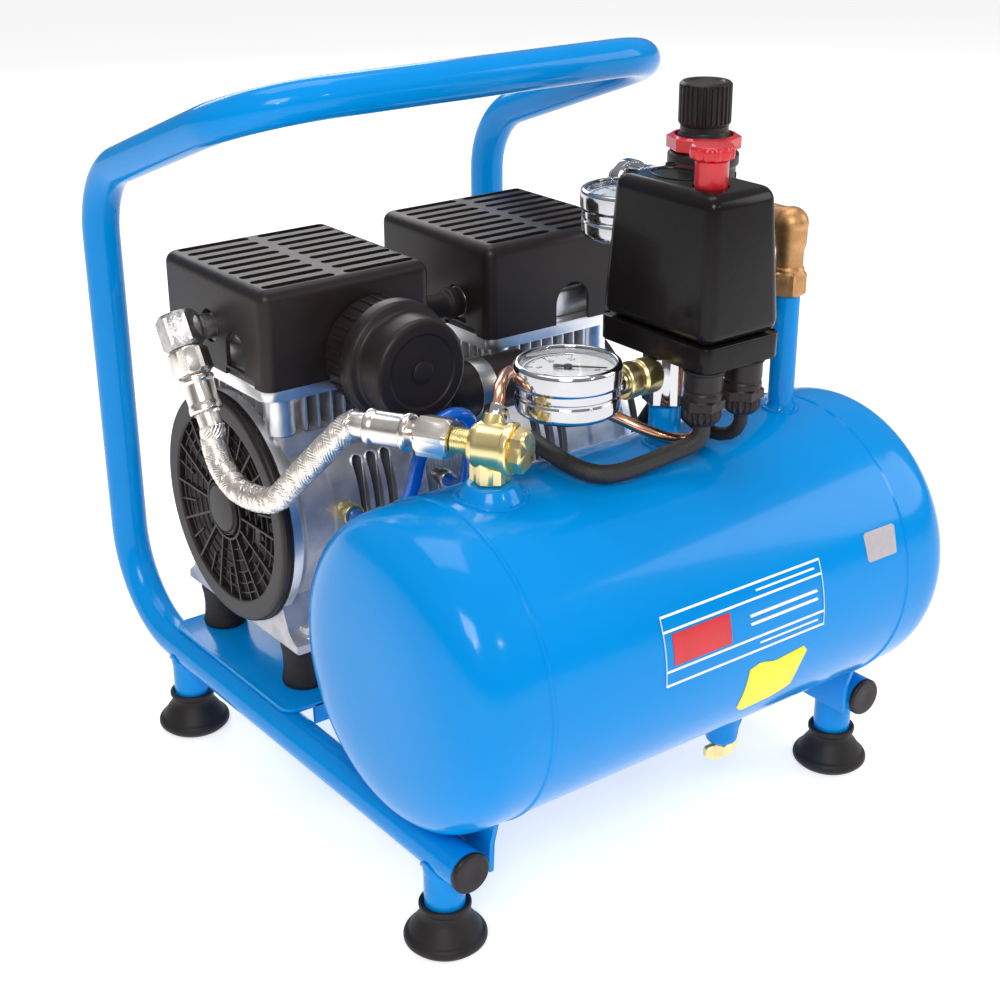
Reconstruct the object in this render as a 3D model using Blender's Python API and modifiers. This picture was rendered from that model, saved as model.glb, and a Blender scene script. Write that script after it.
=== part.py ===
"""Airbrush compressor: a twin-head oil-free motor pump on a bent-tube frame, with a six-litre air tank.

Millimetres are used below and turned into metres where a mesh is made. The origin is on the floor,
under the middle of the machine: +X runs along the tank, +Y from the tank to the motor, +Z up.
"""

import math

import bmesh
import bpy
from mathutils import Matrix, Vector

MM = 0.001
GAP = 0.3
NAME = "airbrush_compressor"

# Bent tube frame.
TUBE_R = 10.65
TUBE_WALL = 1.8
RAIL_X = 137.4
RAIL_Z = 51.8
RAIL_FRONT_Y = -160.8
UPRIGHT_Y = 190.3
SHOULDER_Z = 324.2
CROSSBAR = (12.0, 388.0)
FOOT_Y = (-140.7, 121.9)
LEG_BOTTOM_Z = 8.0
FOOT_R = 21.0
FOOT_TOP_Z = 24.0

# Air tank and the bosses welded to it.
TANK_Y = -120.8
TANK_Z = 142.5
TANK_R = 80.2
TANK_WALL = 2.0
TANK_HALF = 124.6
DISH_DEPTH = 39.0
DISH_CURVE = 0.571
TANK_TOP = TANK_Z + TANK_R
VALVE_X = -93.0
STUB_X = 16.0
STUB_TOP = 244.0
RISER_X = 98.8
RISER_TOP = 284.7
DRAIN = (45.0, -143.7)
DRAIN_Z = 50.0

# Motor pump: one shaft along X with a piston and a fan at each end.
MOTOR_X = -10.0
MOTOR_Y = 70.5
MOTOR_Z = 160.0
CASE_IN = 28.0
CASE_LENGTH = 91.0
CRANK = 43.0
THROW = 6.0
BORE_R = 25.0
MOUNT_X = 105.0
MOUNT_Y = 45.5
MOUNT_TOP = 92.0
PLATE_THICK = 2.5
PLATE_BACK = 132.0
DECK_TOP = 212.0
FLANGE = (234.0, 241.0)
HEAD_TOP = 274.0
COVER_X, COVER_Y = 52.0, 54.0
COVER_TOP = 294.5
COVER_WALL = 2.5
PORT_Y = 47.3
PORT_Z = 257.0
OUTLET = Vector((-150.0, 74.0, 264.0))
OUTLET_DIR = Vector((0, -0.53, -0.848))
FILTER_X, FILTER_Z = -70.0, 254.0
CAP_Y, CAP_Z, CAP_R = 5.0, 222.0, 15.5

# Fittings on the tank.
VALVE = Vector((VALVE_X, TANK_Y, 247.0))
VALVE_DIR = Vector((-0.483, 0.876, 0))
PORT_DIR = Vector((0.55, 0.38, 0.74))
GAUGE_R = 26.0
GAUGE_1 = Vector((-47.0, TANK_Y, 254.0))
GAUGE_2 = Vector((46.5, -56.0, 311.0))
GAUGE_H = 25.2
GAUGE_STEM = 7.0
ZERO = math.radians(-45)
SWITCH_LO = Vector((4.0, -160.7, 271.0))
SWITCH_HI = Vector((54.0, -82.7, 355.0))
SWITCH_SEAM = 283.0
KNOB = (24.1, -138.2)
GLANDS = ((12.5, -151.0), (39.0, -151.0))
GLAND_BOTTOM = 243.0
REGULATOR = (97.0, -56.0)
REG_PORT_Z = 322.0

# Flexible lines, as points that each one passes through.
HOSE_R, SLEEVE_R, LEAD_R, COPPER_R, VENT_R = 7.0, 4.5, 3.5, 3.0, 4.0
HOSE_ROUTE = [
    (-150.3, 43.5, 208), (-151, 33, 197.5), (-151, 14, 192.5), (-149, -14, 198),
    (-143.5, -33, 217), (-135.5, -48, 235),
]
SLEEVE_ROUTE = [
    (12.5, -151, 242.7), (12.5, -151, 237.5), (8.5, -149.7, 232.5), (-3, -146.5, 229.3),
    (-18, -145, 227), (-34, -143.5, 226), (-45, -139, 227), (-50.5, -129, 229), (-50.5, -117, 230),
    (-47.5, -102, 229.5), (-42, -85, 227), (-37, -62, 221), (-33, -40, 213), (-30, -18, 202),
    (-29, 2, 196), (-29, 9.7, 196),
]
LEAD_ROUTE = [
    (39, -151, 242.7), (39, -151, 237.5), (38.3, -147, 231), (36, -139, 228), (33, -129, 229.5),
    (33, -118, 233), (35, -105, 235), (41, -90, 231), (49, -74, 219), (56, -58, 202),
    (63, -42, 178), (67, -33, 148), (69, -30, 115), (70, -29, 78), (70, -27, 45), (70, -20, 20),
    (70, -6, 7), (70, 8, 4), (70, 22, 3.9), (70, 28.8, 3.9),
]
COPPER_ROUTE = [
    (-84.56, -114.97, 263.36), (-82.4, -113.4, 266.2), (-78, -108.5, 268.8), (-71, -101.5, 269.2),
    (-63.5, -94.5, 268.6), (-55, -89, 267), (-46, -86.8, 264), (-35.5, -89, 256.5), (-24, -102, 248),
    (-16, -119, 243.5),
    (-7, -131, 238), (5, -138, 232.5), (17, -140, 230.5), (24, -138.5, 234.5), (26.5, -136, 243),
    (26.5, -136, 262), (26.5, -136, 270.7),
]
VENT_ROUTE = [
    (-92, 1.7, 168), (-92, -6, 168), (-87, -26, 176), (-82.5, -38, 192), (-79, -41.5, 211),
    (-70, -41.5, 226), (-58, -41.5, 230.5), (-48, -41, 226), (-44, -38, 214), (-40, -31, 197),
    (-34, -19, 181), (-29, -4, 172), (-29, 3.7, 172),
]
COIL = Vector((30.0, 60.0, 0.2))
COIL_R = 40.0
COIL_WIDE, COIL_HIGH = 7.5, 21.0

MATERIALS = {
    "blue_paint": ((0.0, 0.27, 0.72), 0.18, 0.0),
    "black_plastic": ((0.018, 0.016, 0.016), 0.5, 0.0),
    "black_rubber": ((0.013, 0.012, 0.012), 0.75, 0.0),
    "cast_aluminium": ((0.42, 0.43, 0.45), 0.38, 1.0),
    "steel": ((0.5, 0.5, 0.5), 0.35, 1.0),
    "chrome": ((0.8, 0.8, 0.8), 0.08, 1.0),
    "brass": ((0.78, 0.5, 0.16), 0.25, 1.0),
    "copper": ((0.8, 0.36, 0.2), 0.25, 1.0),
    "red_plastic": ((0.75, 0.01, 0.02), 0.3, 0.0),
    "blue_hose": ((0.0, 0.1, 0.6), 0.35, 0.0),
    "braid": ((0.55, 0.5, 0.45), 0.35, 0.9),
}


def clear_scene():
    for thing in list(bpy.data.objects):
        bpy.data.objects.remove(thing, do_unlink=True)


def new_collection(name):
    made = bpy.data.collections.new(name)
    bpy.context.scene.collection.children.link(made)
    return made


def material(name):
    made = bpy.data.materials.get(name)
    if made:
        return made
    colour, rough, metal = MATERIALS[name]
    made = bpy.data.materials.new(name)
    made.use_nodes = True
    shader = made.node_tree.nodes["Principled BSDF"]
    shader.inputs["Base Color"].default_value = (*colour, 1)
    shader.inputs["Roughness"].default_value = rough
    shader.inputs["Metallic"].default_value = metal
    return made


clear_scene()
PARTS = new_collection(NAME)
CUTTERS = new_collection(NAME + "_cutters")
CUTTERS.hide_render = True


def add(name, mesh, finish, smooth=False):
    """Put a mesh into the scene: a named finish makes it a part, none makes it a cutter."""
    thing = bpy.data.objects.new(name, mesh)
    if finish:
        PARTS.objects.link(thing)
        mesh.materials.append(material(finish))
    else:
        CUTTERS.objects.link(thing)
        thing.hide_render = True
        thing.display_type = "WIRE"
    for face in mesh.polygons:
        face.use_smooth = smooth
    return thing


def turn_to(direction):
    """The rotation that carries local +Z onto a direction."""
    return Vector(direction).normalized().to_track_quat("Z", "Y").to_euler()


def box(name, lo, hi, finish=None):
    lo, hi = Vector(lo), Vector(hi)
    work = bmesh.new()
    bmesh.ops.create_cube(work, size=1)
    bmesh.ops.scale(work, vec=(hi - lo) * MM, verts=work.verts)
    mesh = bpy.data.meshes.new(name)
    work.to_mesh(mesh)
    work.free()
    thing = add(name, mesh, finish)
    thing.location = (lo + hi) / 2 * MM
    return thing


def cylinder(name, base, direction, radius, length, finish=None, sides=24, top=None, turn=0.0):
    """A cylinder or a frustum that stands on base and rises along direction."""
    work = bmesh.new()
    bmesh.ops.create_cone(
        work, cap_ends=True, segments=sides, radius1=radius * MM,
        radius2=(radius if top is None else top) * MM, depth=length * MM,
    )
    bmesh.ops.rotate(work, matrix=Matrix.Rotation(turn, 3, "Z"), verts=work.verts)
    bmesh.ops.translate(work, vec=(0, 0, length * MM / 2), verts=work.verts)
    mesh = bpy.data.meshes.new(name)
    work.to_mesh(mesh)
    work.free()
    thing = add(name, mesh, finish, smooth=sides > 8)
    thing.location = Vector(base) * MM
    thing.rotation_euler = turn_to(direction)
    return thing


def prism(name, outline, lo, hi, axis, finish=None):
    """A flat outline of (a, b) points, pushed along an axis from lo to hi."""
    place = {"X": lambda a, b: (lo, a, b), "Y": lambda a, b: (a, lo, b)}[axis]
    push = {"X": (hi - lo, 0, 0), "Y": (0, hi - lo, 0)}[axis]
    work = bmesh.new()
    face = work.faces.new([work.verts.new(Vector(place(a, b)) * MM) for a, b in outline])
    made = bmesh.ops.extrude_face_region(work, geom=[face])
    moved = [part for part in made["geom"] if isinstance(part, bmesh.types.BMVert)]
    bmesh.ops.translate(work, vec=Vector(push) * MM, verts=moved)
    bmesh.ops.recalc_face_normals(work, faces=work.faces)
    mesh = bpy.data.meshes.new(name)
    work.to_mesh(mesh)
    work.free()
    return add(name, mesh, finish)


def turned(name, profile, base, direction, finish=None, steps=24, ring=False):
    """A turned piece. The profile's (radius, height) points run down its outer side."""
    mesh = bpy.data.meshes.new(name)
    points = [(radius * MM, 0, height * MM) for radius, height in profile]
    edges = [(i, i + 1) for i in range(len(points) - 1)]
    if ring:
        edges.append((len(points) - 1, 0))
    mesh.from_pydata(points, edges, [])
    thing = add(name, mesh, finish)
    thing.location = Vector(base) * MM
    thing.rotation_euler = turn_to(direction)
    screw = thing.modifiers.new("turn", "SCREW")
    screw.steps = screw.render_steps = steps
    screw.use_merge_vertices = True
    screw.merge_threshold = 0.00001
    screw.use_smooth_shade = True
    return thing


def boolean(thing, other, operation):
    step = thing.modifiers.new(operation.lower(), "BOOLEAN")
    step.operation = operation
    step.solver = "EXACT"
    step.object = other


def cut(thing, *others):
    for other in others:
        boolean(thing, other, "DIFFERENCE")


def join(thing, *others):
    for other in others:
        boolean(thing, other, "UNION")


def bevel(thing, width, segments=2, angle=50.0):
    step = thing.modifiers.new("bevel", "BEVEL")
    step.width = width * MM
    step.segments = segments
    step.limit_method = "ANGLE"
    step.angle_limit = math.radians(angle)


def round_corners(thing, width):
    """A bevel on a box's upright edges only."""
    bevel(thing, width)
    thing.modifiers["bevel"].limit_method = "WEIGHT"
    corners = thing.data.attributes.new("bevel_weight_edge", "FLOAT", "EDGE")
    for edge, weight in zip(thing.data.edges, corners.data):
        a, b = (thing.data.vertices[i].co for i in edge.vertices)
        weight.value = 1.0 if abs(a.z - b.z) > abs(a.x - b.x) + abs(a.y - b.y) else 0.0


def smooth_route(points, step):
    """A route with straight end stretches, and points a step apart along a curve between them."""
    first, *points, last = [Vector(point) for point in points]
    ends = [first, *points, last]
    dense = []
    for a, b, c, d in zip(ends, ends[1:], ends[2:], ends[3:]):
        for i in range(24):
            t = i / 24
            dense.append(
                0.5 * (2 * b + (c - a) * t + (2 * a - 5 * b + 4 * c - d) * t**2
                       + (3 * b - a - 3 * c + d) * t**3)
            )
    dense.append(points[-1])
    lengths = [0.0]
    for a, b in zip(dense, dense[1:]):
        lengths.append(lengths[-1] + (b - a).length)
    count = max(2, round(lengths[-1] / step))
    picked = []
    for i in range(count + 1):
        goal = lengths[-1] * i / count
        at = min(range(len(lengths)), key=lambda k: abs(lengths[k] - goal))
        picked.append(dense[at])
    return [first, *picked, last]


def tube(name, points, radius, finish, resolution=2):
    """A round tube along a run of points, as a curve with a bevel and filled ends."""
    curve = bpy.data.curves.new(name, "CURVE")
    curve.dimensions = "3D"
    curve.bevel_depth = radius * MM
    curve.bevel_resolution = resolution
    curve.use_fill_caps = True
    spline = curve.splines.new("POLY")
    spline.points.add(len(points) - 1)
    for knot, point in zip(spline.points, points):
        knot.co = (*(Vector(point) * MM), 1)
    spline.use_smooth = True
    thing = bpy.data.objects.new(name, curve)
    PARTS.objects.link(thing)
    curve.materials.append(material(finish))
    return thing


def rounded_path(corners, radii, segments=4):
    """The corners of a bent tube, each one replaced by an arc of its bend radius."""
    corners = [Vector(corner) for corner in corners]
    path = [corners[0]]
    for before, corner, after, radius in zip(corners, corners[1:], corners[2:], radii):
        a, b = (before - corner).normalized(), (after - corner).normalized()
        half = a.angle(b) / 2
        centre = corner + (a + b).normalized() * (radius / math.sin(half))
        start = corner + a * (radius / math.tan(half)) - centre
        end = corner + b * (radius / math.tan(half)) - centre
        sweep = start.angle(end)
        for i in range(segments + 1):
            t = i / segments
            path.append(
                centre + (start * math.sin((1 - t) * sweep) + end * math.sin(t * sweep))
                / math.sin(sweep)
            )
    return [*path, corners[-1]]


def open_tube(name, points, radius, wall, finish, resolution):
    """A bent tube with a real wall, open at both ends."""
    curve = tube(name + "_line", points, radius, finish, resolution)
    curve.data.use_fill_caps = False
    graph = bpy.context.evaluated_depsgraph_get()
    mesh = bpy.data.meshes.new_from_object(curve.evaluated_get(graph))
    bpy.data.objects.remove(curve, do_unlink=True)
    work = bmesh.new()
    work.from_mesh(mesh)
    bmesh.ops.remove_doubles(work, verts=work.verts, dist=0.00001)
    bmesh.ops.recalc_face_normals(work, faces=work.faces)
    work.to_mesh(mesh)
    work.free()
    mesh.materials.clear()
    thing = add(name, mesh, finish, smooth=True)
    shell = thing.modifiers.new("wall", "SOLIDIFY")
    shell.thickness = wall * MM
    shell.offset = -1
    return thing


def frame():
    side = [
        (RAIL_X, RAIL_FRONT_Y, RAIL_Z), (RAIL_X, UPRIGHT_Y, RAIL_Z),
        (RAIL_X, UPRIGHT_Y, SHOULDER_Z), (RAIL_X, *CROSSBAR),
    ]
    corners = side + [(-x, y, z) for x, y, z in reversed(side)]
    path = rounded_path(corners, (57, 50, 47, 47, 50, 57))
    body = open_tube("handle_frame", path, TUBE_R, TUBE_WALL, "blue_paint", 2)
    for i, (x, y) in enumerate(foot_places()):
        leg = cylinder(
            f"cut_leg_{i}", (x, y, LEG_BOTTOM_Z), (0, 0, 1), TUBE_R - 0.2, RAIL_Z - LEG_BOTTOM_Z - 2,
            sides=12,
        )
        join(body, leg)


def foot_places():
    return [(x, y) for y in FOOT_Y for x in (-RAIL_X, RAIL_X)]


def feet():
    lip, hole = 12.9, TUBE_R + GAP
    profile = [
        (lip, FOOT_TOP_Z), (lip, 22), (12.2, 20), (13.4, 17), (18.5, 11.5), (FOOT_R, 6), (FOOT_R, 3.5),
        (18, 0), (14, 0), (4, 3), (4, LEG_BOTTOM_Z - GAP), (hole, LEG_BOTTOM_Z - GAP),
        (hole, FOOT_TOP_Z),
    ]
    names = ("front_left", "front_right", "back_left", "back_right")
    for (x, y), where in zip(foot_places(), names):
        turned(f"foot_{where}", profile, (x, y, 0), (0, 0, 1), "black_rubber", 14, ring=True)


def rail_caps():
    inner = TUBE_R - TUBE_WALL - 1.0
    profile = [
        (0, 3), (TUBE_R - 0.6, 3), (TUBE_R, 2.2), (TUBE_R, 0), (inner, 0), (inner, -8), (0, -8),
    ]
    for side, x in (("left", -RAIL_X), ("right", RAIL_X)):
        base = (x, RAIL_FRONT_Y - GAP, RAIL_Z)
        turned(f"rail_cap_{side}", profile, base, (0, -1, 0), "black_plastic", 16)


def tank():
    """The welded vessel: shell, dished ends, saddle plates, bosses and the riser pipe."""
    dish = [i / 4 for i in range(4)]

    def end(radius, half, depth, sign):
        arc = [(radius * math.cos(math.pi / 2 * t) ** DISH_CURVE,
                half + depth * math.sin(math.pi / 2 * t) ** DISH_CURVE) for t in dish]
        return [(r, sign * h) for r, h in [*arc, (0, half + depth)]]

    outer = end(TANK_R, TANK_HALF, DISH_DEPTH, 1)
    inner = end(TANK_R - TANK_WALL, TANK_HALF, DISH_DEPTH - TANK_WALL, 1)
    middle = (0, TANK_Y, TANK_Z)
    body = turned(
        "tank_shell", [*reversed(outer), *[(r, -h) for r, h in outer]], middle, (1, 0, 0),
        "blue_paint", 24,
    )
    hollow = turned(
        "cut_tank", [*reversed(inner), *[(r, -h) for r, h in inner]], middle, (1, 0, 0), steps=24,
    )
    up = (0, 0, 1)
    saddles = []
    for side in (-1, 1):
        plate = box(
            f"cut_saddle_{side}", (side * 123.5 - 1.5, TANK_Y - 40, RAIL_Z - 6),
            (side * 123.5 + 1.5, TANK_Y + 40, TANK_Z - 62),
        )
        saddles.append(plate)
    foot = TANK_TOP - 4
    join(
        body, *saddles,
        cylinder("cut_valve_boss", (VALVE_X, TANK_Y, foot), up, 15, 10.3, top=12.5, sides=20),
        cylinder("cut_stub", (STUB_X, TANK_Y, foot), up, 8, STUB_TOP - foot, sides=16),
        cylinder("cut_riser", (RISER_X, TANK_Y, foot), up, 6.8, RISER_TOP - foot, sides=16),
        cylinder("cut_drain", (*DRAIN, DRAIN_Z), up, 8.5, 22, top=11, sides=16),
    )
    cut(
        body, hollow,
        cylinder("cut_valve_bore", (VALVE_X, TANK_Y, 200), up, 8, 40, sides=16),
        cylinder("cut_stub_bore", (STUB_X, TANK_Y, 200), up, 4.5, 60, sides=12),
        cylinder("cut_riser_bore", (RISER_X, TANK_Y, 200), up, 4, 100, sides=12),
        cylinder("cut_drain_bore", (*DRAIN, DRAIN_Z - 5), up, 4, 40, sides=12),
    )


def base_plate():
    under = RAIL_Z + TUBE_R + GAP
    top = under + PLATE_THICK
    plate = box("base_plate", (-141, 0, under), (141, PLATE_BACK, top), "blue_paint")
    for y in (0, PLATE_BACK - PLATE_THICK):
        lip = box(f"cut_lip_{y:.0f}", (-124, y, under - 11), (124, y + PLATE_THICK, top - 0.5))
        join(plate, lip)
    for i, (x, y) in enumerate(mount_places()):
        cut(plate, cylinder(f"cut_plate_{i}", (x, y, under - 5), (0, 0, 1), 3.4, 12, sides=12))


def mount_places():
    return [(MOTOR_X + x, MOTOR_Y + y) for y in (-MOUNT_Y, MOUNT_Y) for x in (-MOUNT_X, MOUNT_X)]


def motor_mounts():
    low = RAIL_Z + TUBE_R + GAP + PLATE_THICK + GAP
    high = MOUNT_TOP - GAP
    middle = (low + high) / 2
    profile = [
        (0, high), (12, high), (12.5, high - 2), (11.2, middle), (12.5, low + 2), (12, low), (0, low),
    ]
    for i, (x, y) in enumerate(mount_places()):
        turned(f"motor_mount_{i + 1}", profile, (x, y, 0), (0, 0, 1), "black_rubber", 16)


def crankcase(side):
    """One end casting, with its fan chamber outside and its crank chamber inside."""
    name = "left" if side < 0 else "right"
    out = CASE_LENGTH
    profile = [(0, out), (64.5, out), (64.5, out - 8), (61, out - 11), (61, 0), (0, 0)]
    start = (MOTOR_X + side * CASE_IN, MOTOR_Y, MOTOR_Z)
    body = turned(f"crankcase_{name}", profile, start, (side, 0, 0), "cast_aluminium", 20)
    rooms = [
        (0, out + 5), (57.5, out + 5), (57.5, 66), (17, 66), (17, 70), (9.3, 70), (9.3, 56), (17, 56),
        (17, 61), (49, 61), (49, -5), (0, -5),
    ]
    hollow = turned(f"cut_rooms_{name}", rooms, start, (side, 0, 0), steps=20)
    centre = crank_x(side)
    inner, outer = sorted((MOTOR_X + side * (CASE_IN + 0.5), MOTOR_X + side * (CASE_IN + out - 5)))
    deck = box(
        f"cut_deck_{name}", (inner, MOTOR_Y - 46, DECK_TOP - 9), (outer, MOTOR_Y + 46, DECK_TOP),
    )
    bevel(deck, 4, 2)
    reach = MOTOR_X + side * MOUNT_X
    outline = [
        (-62, MOUNT_TOP), (62, MOUNT_TOP), (62, 98), (52, 103), (44, 126), (-44, 126), (-52, 103),
        (-62, 98),
    ]
    foot = prism(
        f"cut_foot_{name}", [(MOTOR_Y + a, b) for a, b in outline], reach - 13, reach + 13, "X",
    )
    join(body, deck, foot)
    bore = cylinder(f"cut_seat_{name}", (centre, MOTOR_Y, 188), (0, 0, 1), BORE_R + 3, 40, sides=24)
    ends = sorted((MOTOR_X + side * (CASE_IN - 2), MOTOR_X + side * (CASE_IN + 86.6)))
    crown = box(
        f"cut_crown_top_{name}", (ends[0], MOTOR_Y - 70, DECK_TOP), (ends[1], MOTOR_Y + 70, 240),
    )
    cut(body, crown, hollow, bore)
    for i in range(3):
        x = MOTOR_X + side * (CASE_IN + 23 + 9 * i)
        for face in (-1, 1):
            y = MOTOR_Y + face * 65
            cut(body, box(f"cut_vent_{name}_{i}_{face}", (x - 3, y - 22, 139), (x + 3, y + 22, 197)))
    if side < 0:
        vent = cylinder("cut_vent_boss", (-92, 2, 168), (0, 1, 0), 6, 11, sides=12)
        join(body, vent)


def crank_x(side):
    return MOTOR_X + side * (CASE_IN + CRANK)


def stator():
    start = MOTOR_X - CASE_IN + GAP
    length = 2 * (CASE_IN - GAP)
    profile = [(58, length), (58, 0), (30, 0), (30, length)]
    body = turned("stator", profile, (start, MOTOR_Y, MOTOR_Z), (1, 0, 0), "steel", 22, ring=True)
    for i, (y, z, radius) in enumerate(((10, 196, 6.5), (4, 172, 5))):
        join(body, cylinder(f"cut_boss_{i}", (-29, y, z), (0, 1, 0), radius, 22, sides=12))


def rotor():
    half = 113.0
    profile = [
        (0, half), (8, half), (8, 26), (28.5, 26), (28.5, -26), (8, -26), (8, -half), (0, -half),
    ]
    body = turned("rotor_shaft", profile, (MOTOR_X, MOTOR_Y, MOTOR_Z), (1, 0, 0), "steel", 16)
    for side in (-1, 1):
        disc = cylinder(
            f"cut_eccentric_{side}", (crank_x(side) - 4, MOTOR_Y, MOTOR_Z - side * THROW),
            (1, 0, 0), 12, 8, sides=20,
        )
        join(body, disc)


def fan(side):
    name = "left" if side < 0 else "right"
    start = Vector((MOTOR_X + side * (CASE_IN + 71), MOTOR_Y, MOTOR_Z))
    profile = [(16, 14), (16, 0), (8.4, 0), (8.4, 14)]
    hub = turned(f"fan_{name}", profile, start, (side, 0, 0), "black_plastic", 20, ring=True)
    work = bmesh.new()
    for i in range(7):
        blade = bmesh.ops.create_cube(work, size=1)["verts"]
        bmesh.ops.scale(work, vec=(40 * MM, 18 * MM, 1.8 * MM), verts=blade)
        bmesh.ops.rotate(work, matrix=Matrix.Rotation(math.radians(32), 3, "X"), verts=blade)
        bmesh.ops.translate(work, vec=(34 * MM, 0, 7 * MM), verts=blade)
        bmesh.ops.rotate(work, matrix=Matrix.Rotation(math.tau * i / 7, 3, "Z"), verts=blade)
    mesh = bpy.data.meshes.new(f"cut_blades_{name}")
    work.to_mesh(mesh)
    work.free()
    blades = add(f"cut_blades_{name}", mesh, None)
    blades.location = start * MM
    blades.rotation_euler = turn_to((side, 0, 0))
    join(hub, blades)


def fan_grille(side):
    """The ring guard over a fan: a rim, a hub, radial ribs and one ring between them."""
    name = "left" if side < 0 else "right"
    start = Vector((MOTOR_X + side * (CASE_IN + CASE_LENGTH + GAP), MOTOR_Y, MOTOR_Z))
    rim = [(65.5, 4.7), (65.5, 0), (57, 0), (57, 4.7)]
    body = turned(f"fan_grille_{name}", rim, start, (side, 0, 0), "black_plastic", 20, ring=True)
    work = bmesh.new()
    count = 6
    for i in range(count):
        rib = bmesh.ops.create_cube(work, size=1)["verts"]
        bmesh.ops.scale(work, vec=(48 * MM, 1.6 * MM, 2.4 * MM), verts=rib)
        bmesh.ops.translate(work, vec=(36 * MM, 0, 2.2 * MM), verts=rib)
        bmesh.ops.rotate(work, matrix=Matrix.Rotation(math.tau * i / count, 3, "Z"), verts=rib)
    mesh = bpy.data.meshes.new(f"cut_ribs_{name}")
    work.to_mesh(mesh)
    work.free()
    ribs = add(f"cut_ribs_{name}", mesh, None)
    ribs.location = start * MM
    ribs.rotation_euler = turn_to((side, 0, 0))
    middle = turned(
        f"cut_middle_{name}", [(38, 3.2), (38, 1.2), (36, 1.2), (36, 3.2)], start, (side, 0, 0),
        steps=20, ring=True,
    )
    hub = cylinder(f"cut_hub_{name}", start, (side, 0, 0), 15, 7.5, sides=20)
    join(body, ribs, middle, hub)


def piston(side):
    """A one-piece piston and rod, with its big end round the eccentric."""
    name = "left" if side < 0 else "right"
    x = crank_x(side)
    ring = [(29, 4), (29, -4), (25, -4), (25, 4)]
    body = turned(
        f"piston_{name}", ring, (x, MOTOR_Y, MOTOR_Z), (1, 0, 0), "cast_aluminium", 24, ring=True,
    )
    rod = box(f"cut_rod_{name}", (x - 4.5, MOTOR_Y - 6, 186.5), (x + 4.5, MOTOR_Y + 6, 224))
    crown = cylinder(f"cut_crown_{name}", (x, MOTOR_Y, 222), (0, 0, 1), BORE_R - 0.5, 9, sides=24)
    join(body, rod, crown)


def cylinder_block(side):
    name = "left" if side < 0 else "right"
    x = crank_x(side)
    low, high = FLANGE
    seat = DECK_TOP + GAP
    body = box(
        f"cylinder_{name}", (x - 50, MOTOR_Y - 51, low), (x + 50, MOTOR_Y + 51, high), "cast_aluminium",
    )
    round_corners(body, 7)
    barrel = cylinder(f"cut_barrel_{name}", (x, MOTOR_Y, 190), (0, 0, 1), BORE_R + 2.5, 48, sides=24)
    join(body, barrel)
    inward = -side
    for i, (along, across) in enumerate(((-1, -1), (1, -1), (-1, 1), (1, 1))):
        place = (x + inward * along * 36, MOTOR_Y + across * 38, seat)
        pillar = cylinder(f"cut_pillar_{name}_{i}", place, (0, 0, 1), 6, low - seat + 2, sides=6)
        join(body, pillar)
    for i in range(3):
        a = x - 18 + 18 * i
        fin = box(
            f"cut_fin_{name}_{i}", (a - 1, MOTOR_Y - 43, seat), (a + 1, MOTOR_Y + 43, low + 2),
        )
        join(body, fin)
    cut(body, cylinder(f"cut_bore_{name}", (x, MOTOR_Y, 180), (0, 0, 1), BORE_R, 80, sides=24))


def head(side):
    name = "left" if side < 0 else "right"
    x = crank_x(side)
    low = FLANGE[1] + GAP
    lo, hi = (x - 42, MOTOR_Y - 43, low), (x + 42, MOTOR_Y + 43, HEAD_TOP)
    body = box(f"head_{name}", lo, hi, "cast_aluminium")
    for i in range(5):
        y = MOTOR_Y - 32 + 16 * i
        groove = box(
            f"cut_groove_{name}_{i}", (x - 30, y - 4, HEAD_TOP - 9), (x + 30, y + 4, HEAD_TOP + 2),
        )
        cut(body, groove)
    if side < 0:
        boss = cylinder("cut_outlet_boss", (x - 46, OUTLET.y, OUTLET.z), (1, 0, 0), 8, 8, sides=16)
        join(body, boss)


def arch(name, centre, half, low, high, lo, hi, axis):
    """A doorway-shaped cutter: straight sides under a half-round top."""
    top = high - half
    curve = [(centre + half * math.cos(a), top + half * math.sin(a))
             for a in (math.pi * i / 8 for i in range(9))]
    return prism(name, [(centre - half, low), (centre + half, low), *curve], lo, hi, axis)


def head_cover(side):
    name = "left" if side < 0 else "right"
    x = crank_x(side)
    low = FLANGE[1] + GAP
    wall = COVER_WALL
    lo = Vector((x - COVER_X, MOTOR_Y - COVER_Y, low))
    hi = Vector((x + COVER_X, MOTOR_Y + COVER_Y, COVER_TOP))
    body = box(f"head_cover_{name}", lo, hi, "black_plastic")
    bevel(body, 4, 2)
    hollow = box(
        f"cut_cover_{name}", (lo.x + wall, lo.y + wall, low - 6),
        (hi.x - wall, hi.y - wall, COVER_TOP - wall),
    )
    cut(body, hollow)
    for column in (-1, 1):
        for row in range(9):
            y = MOTOR_Y + (row - 4) * 11.2
            a = x + column * 24.5
            slot = box(
                f"cut_slot_{name}_{column}_{row}", (a - 21.5, y - 2.8, COVER_TOP - 8),
                (a + 21.5, y + 2.8, COVER_TOP + 3),
            )
            cut(body, slot)
    front = (lo.y - 3, lo.y + wall + 3)
    cut(body, arch(f"cut_front_{name}", x + 8, 12, low - 3, 265, *front, "Y"))
    for face, (a, b) in enumerate(((lo.x - 3, lo.x + wall + 3), (hi.x - wall - 3, hi.x + 3))):
        cut(body, arch(f"cut_side_{name}_{face}", PORT_Y, 9.5, low + 5, 267, a, b, "X"))
        for i, y in enumerate((MOTOR_Y - 27, MOTOR_Y + 27)):
            gap = box(f"cut_gap_{name}_{face}_{i}", (a, y - 15, low - 3), (b, y + 15, low + 4))
            cut(body, gap)
    if side < 0:
        hole = cylinder("cut_outlet_hole", (lo.x - 3, OUTLET.y, OUTLET.z), (1, 0, 0), 9, 10, sides=16)
        cut(body, hole)


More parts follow.
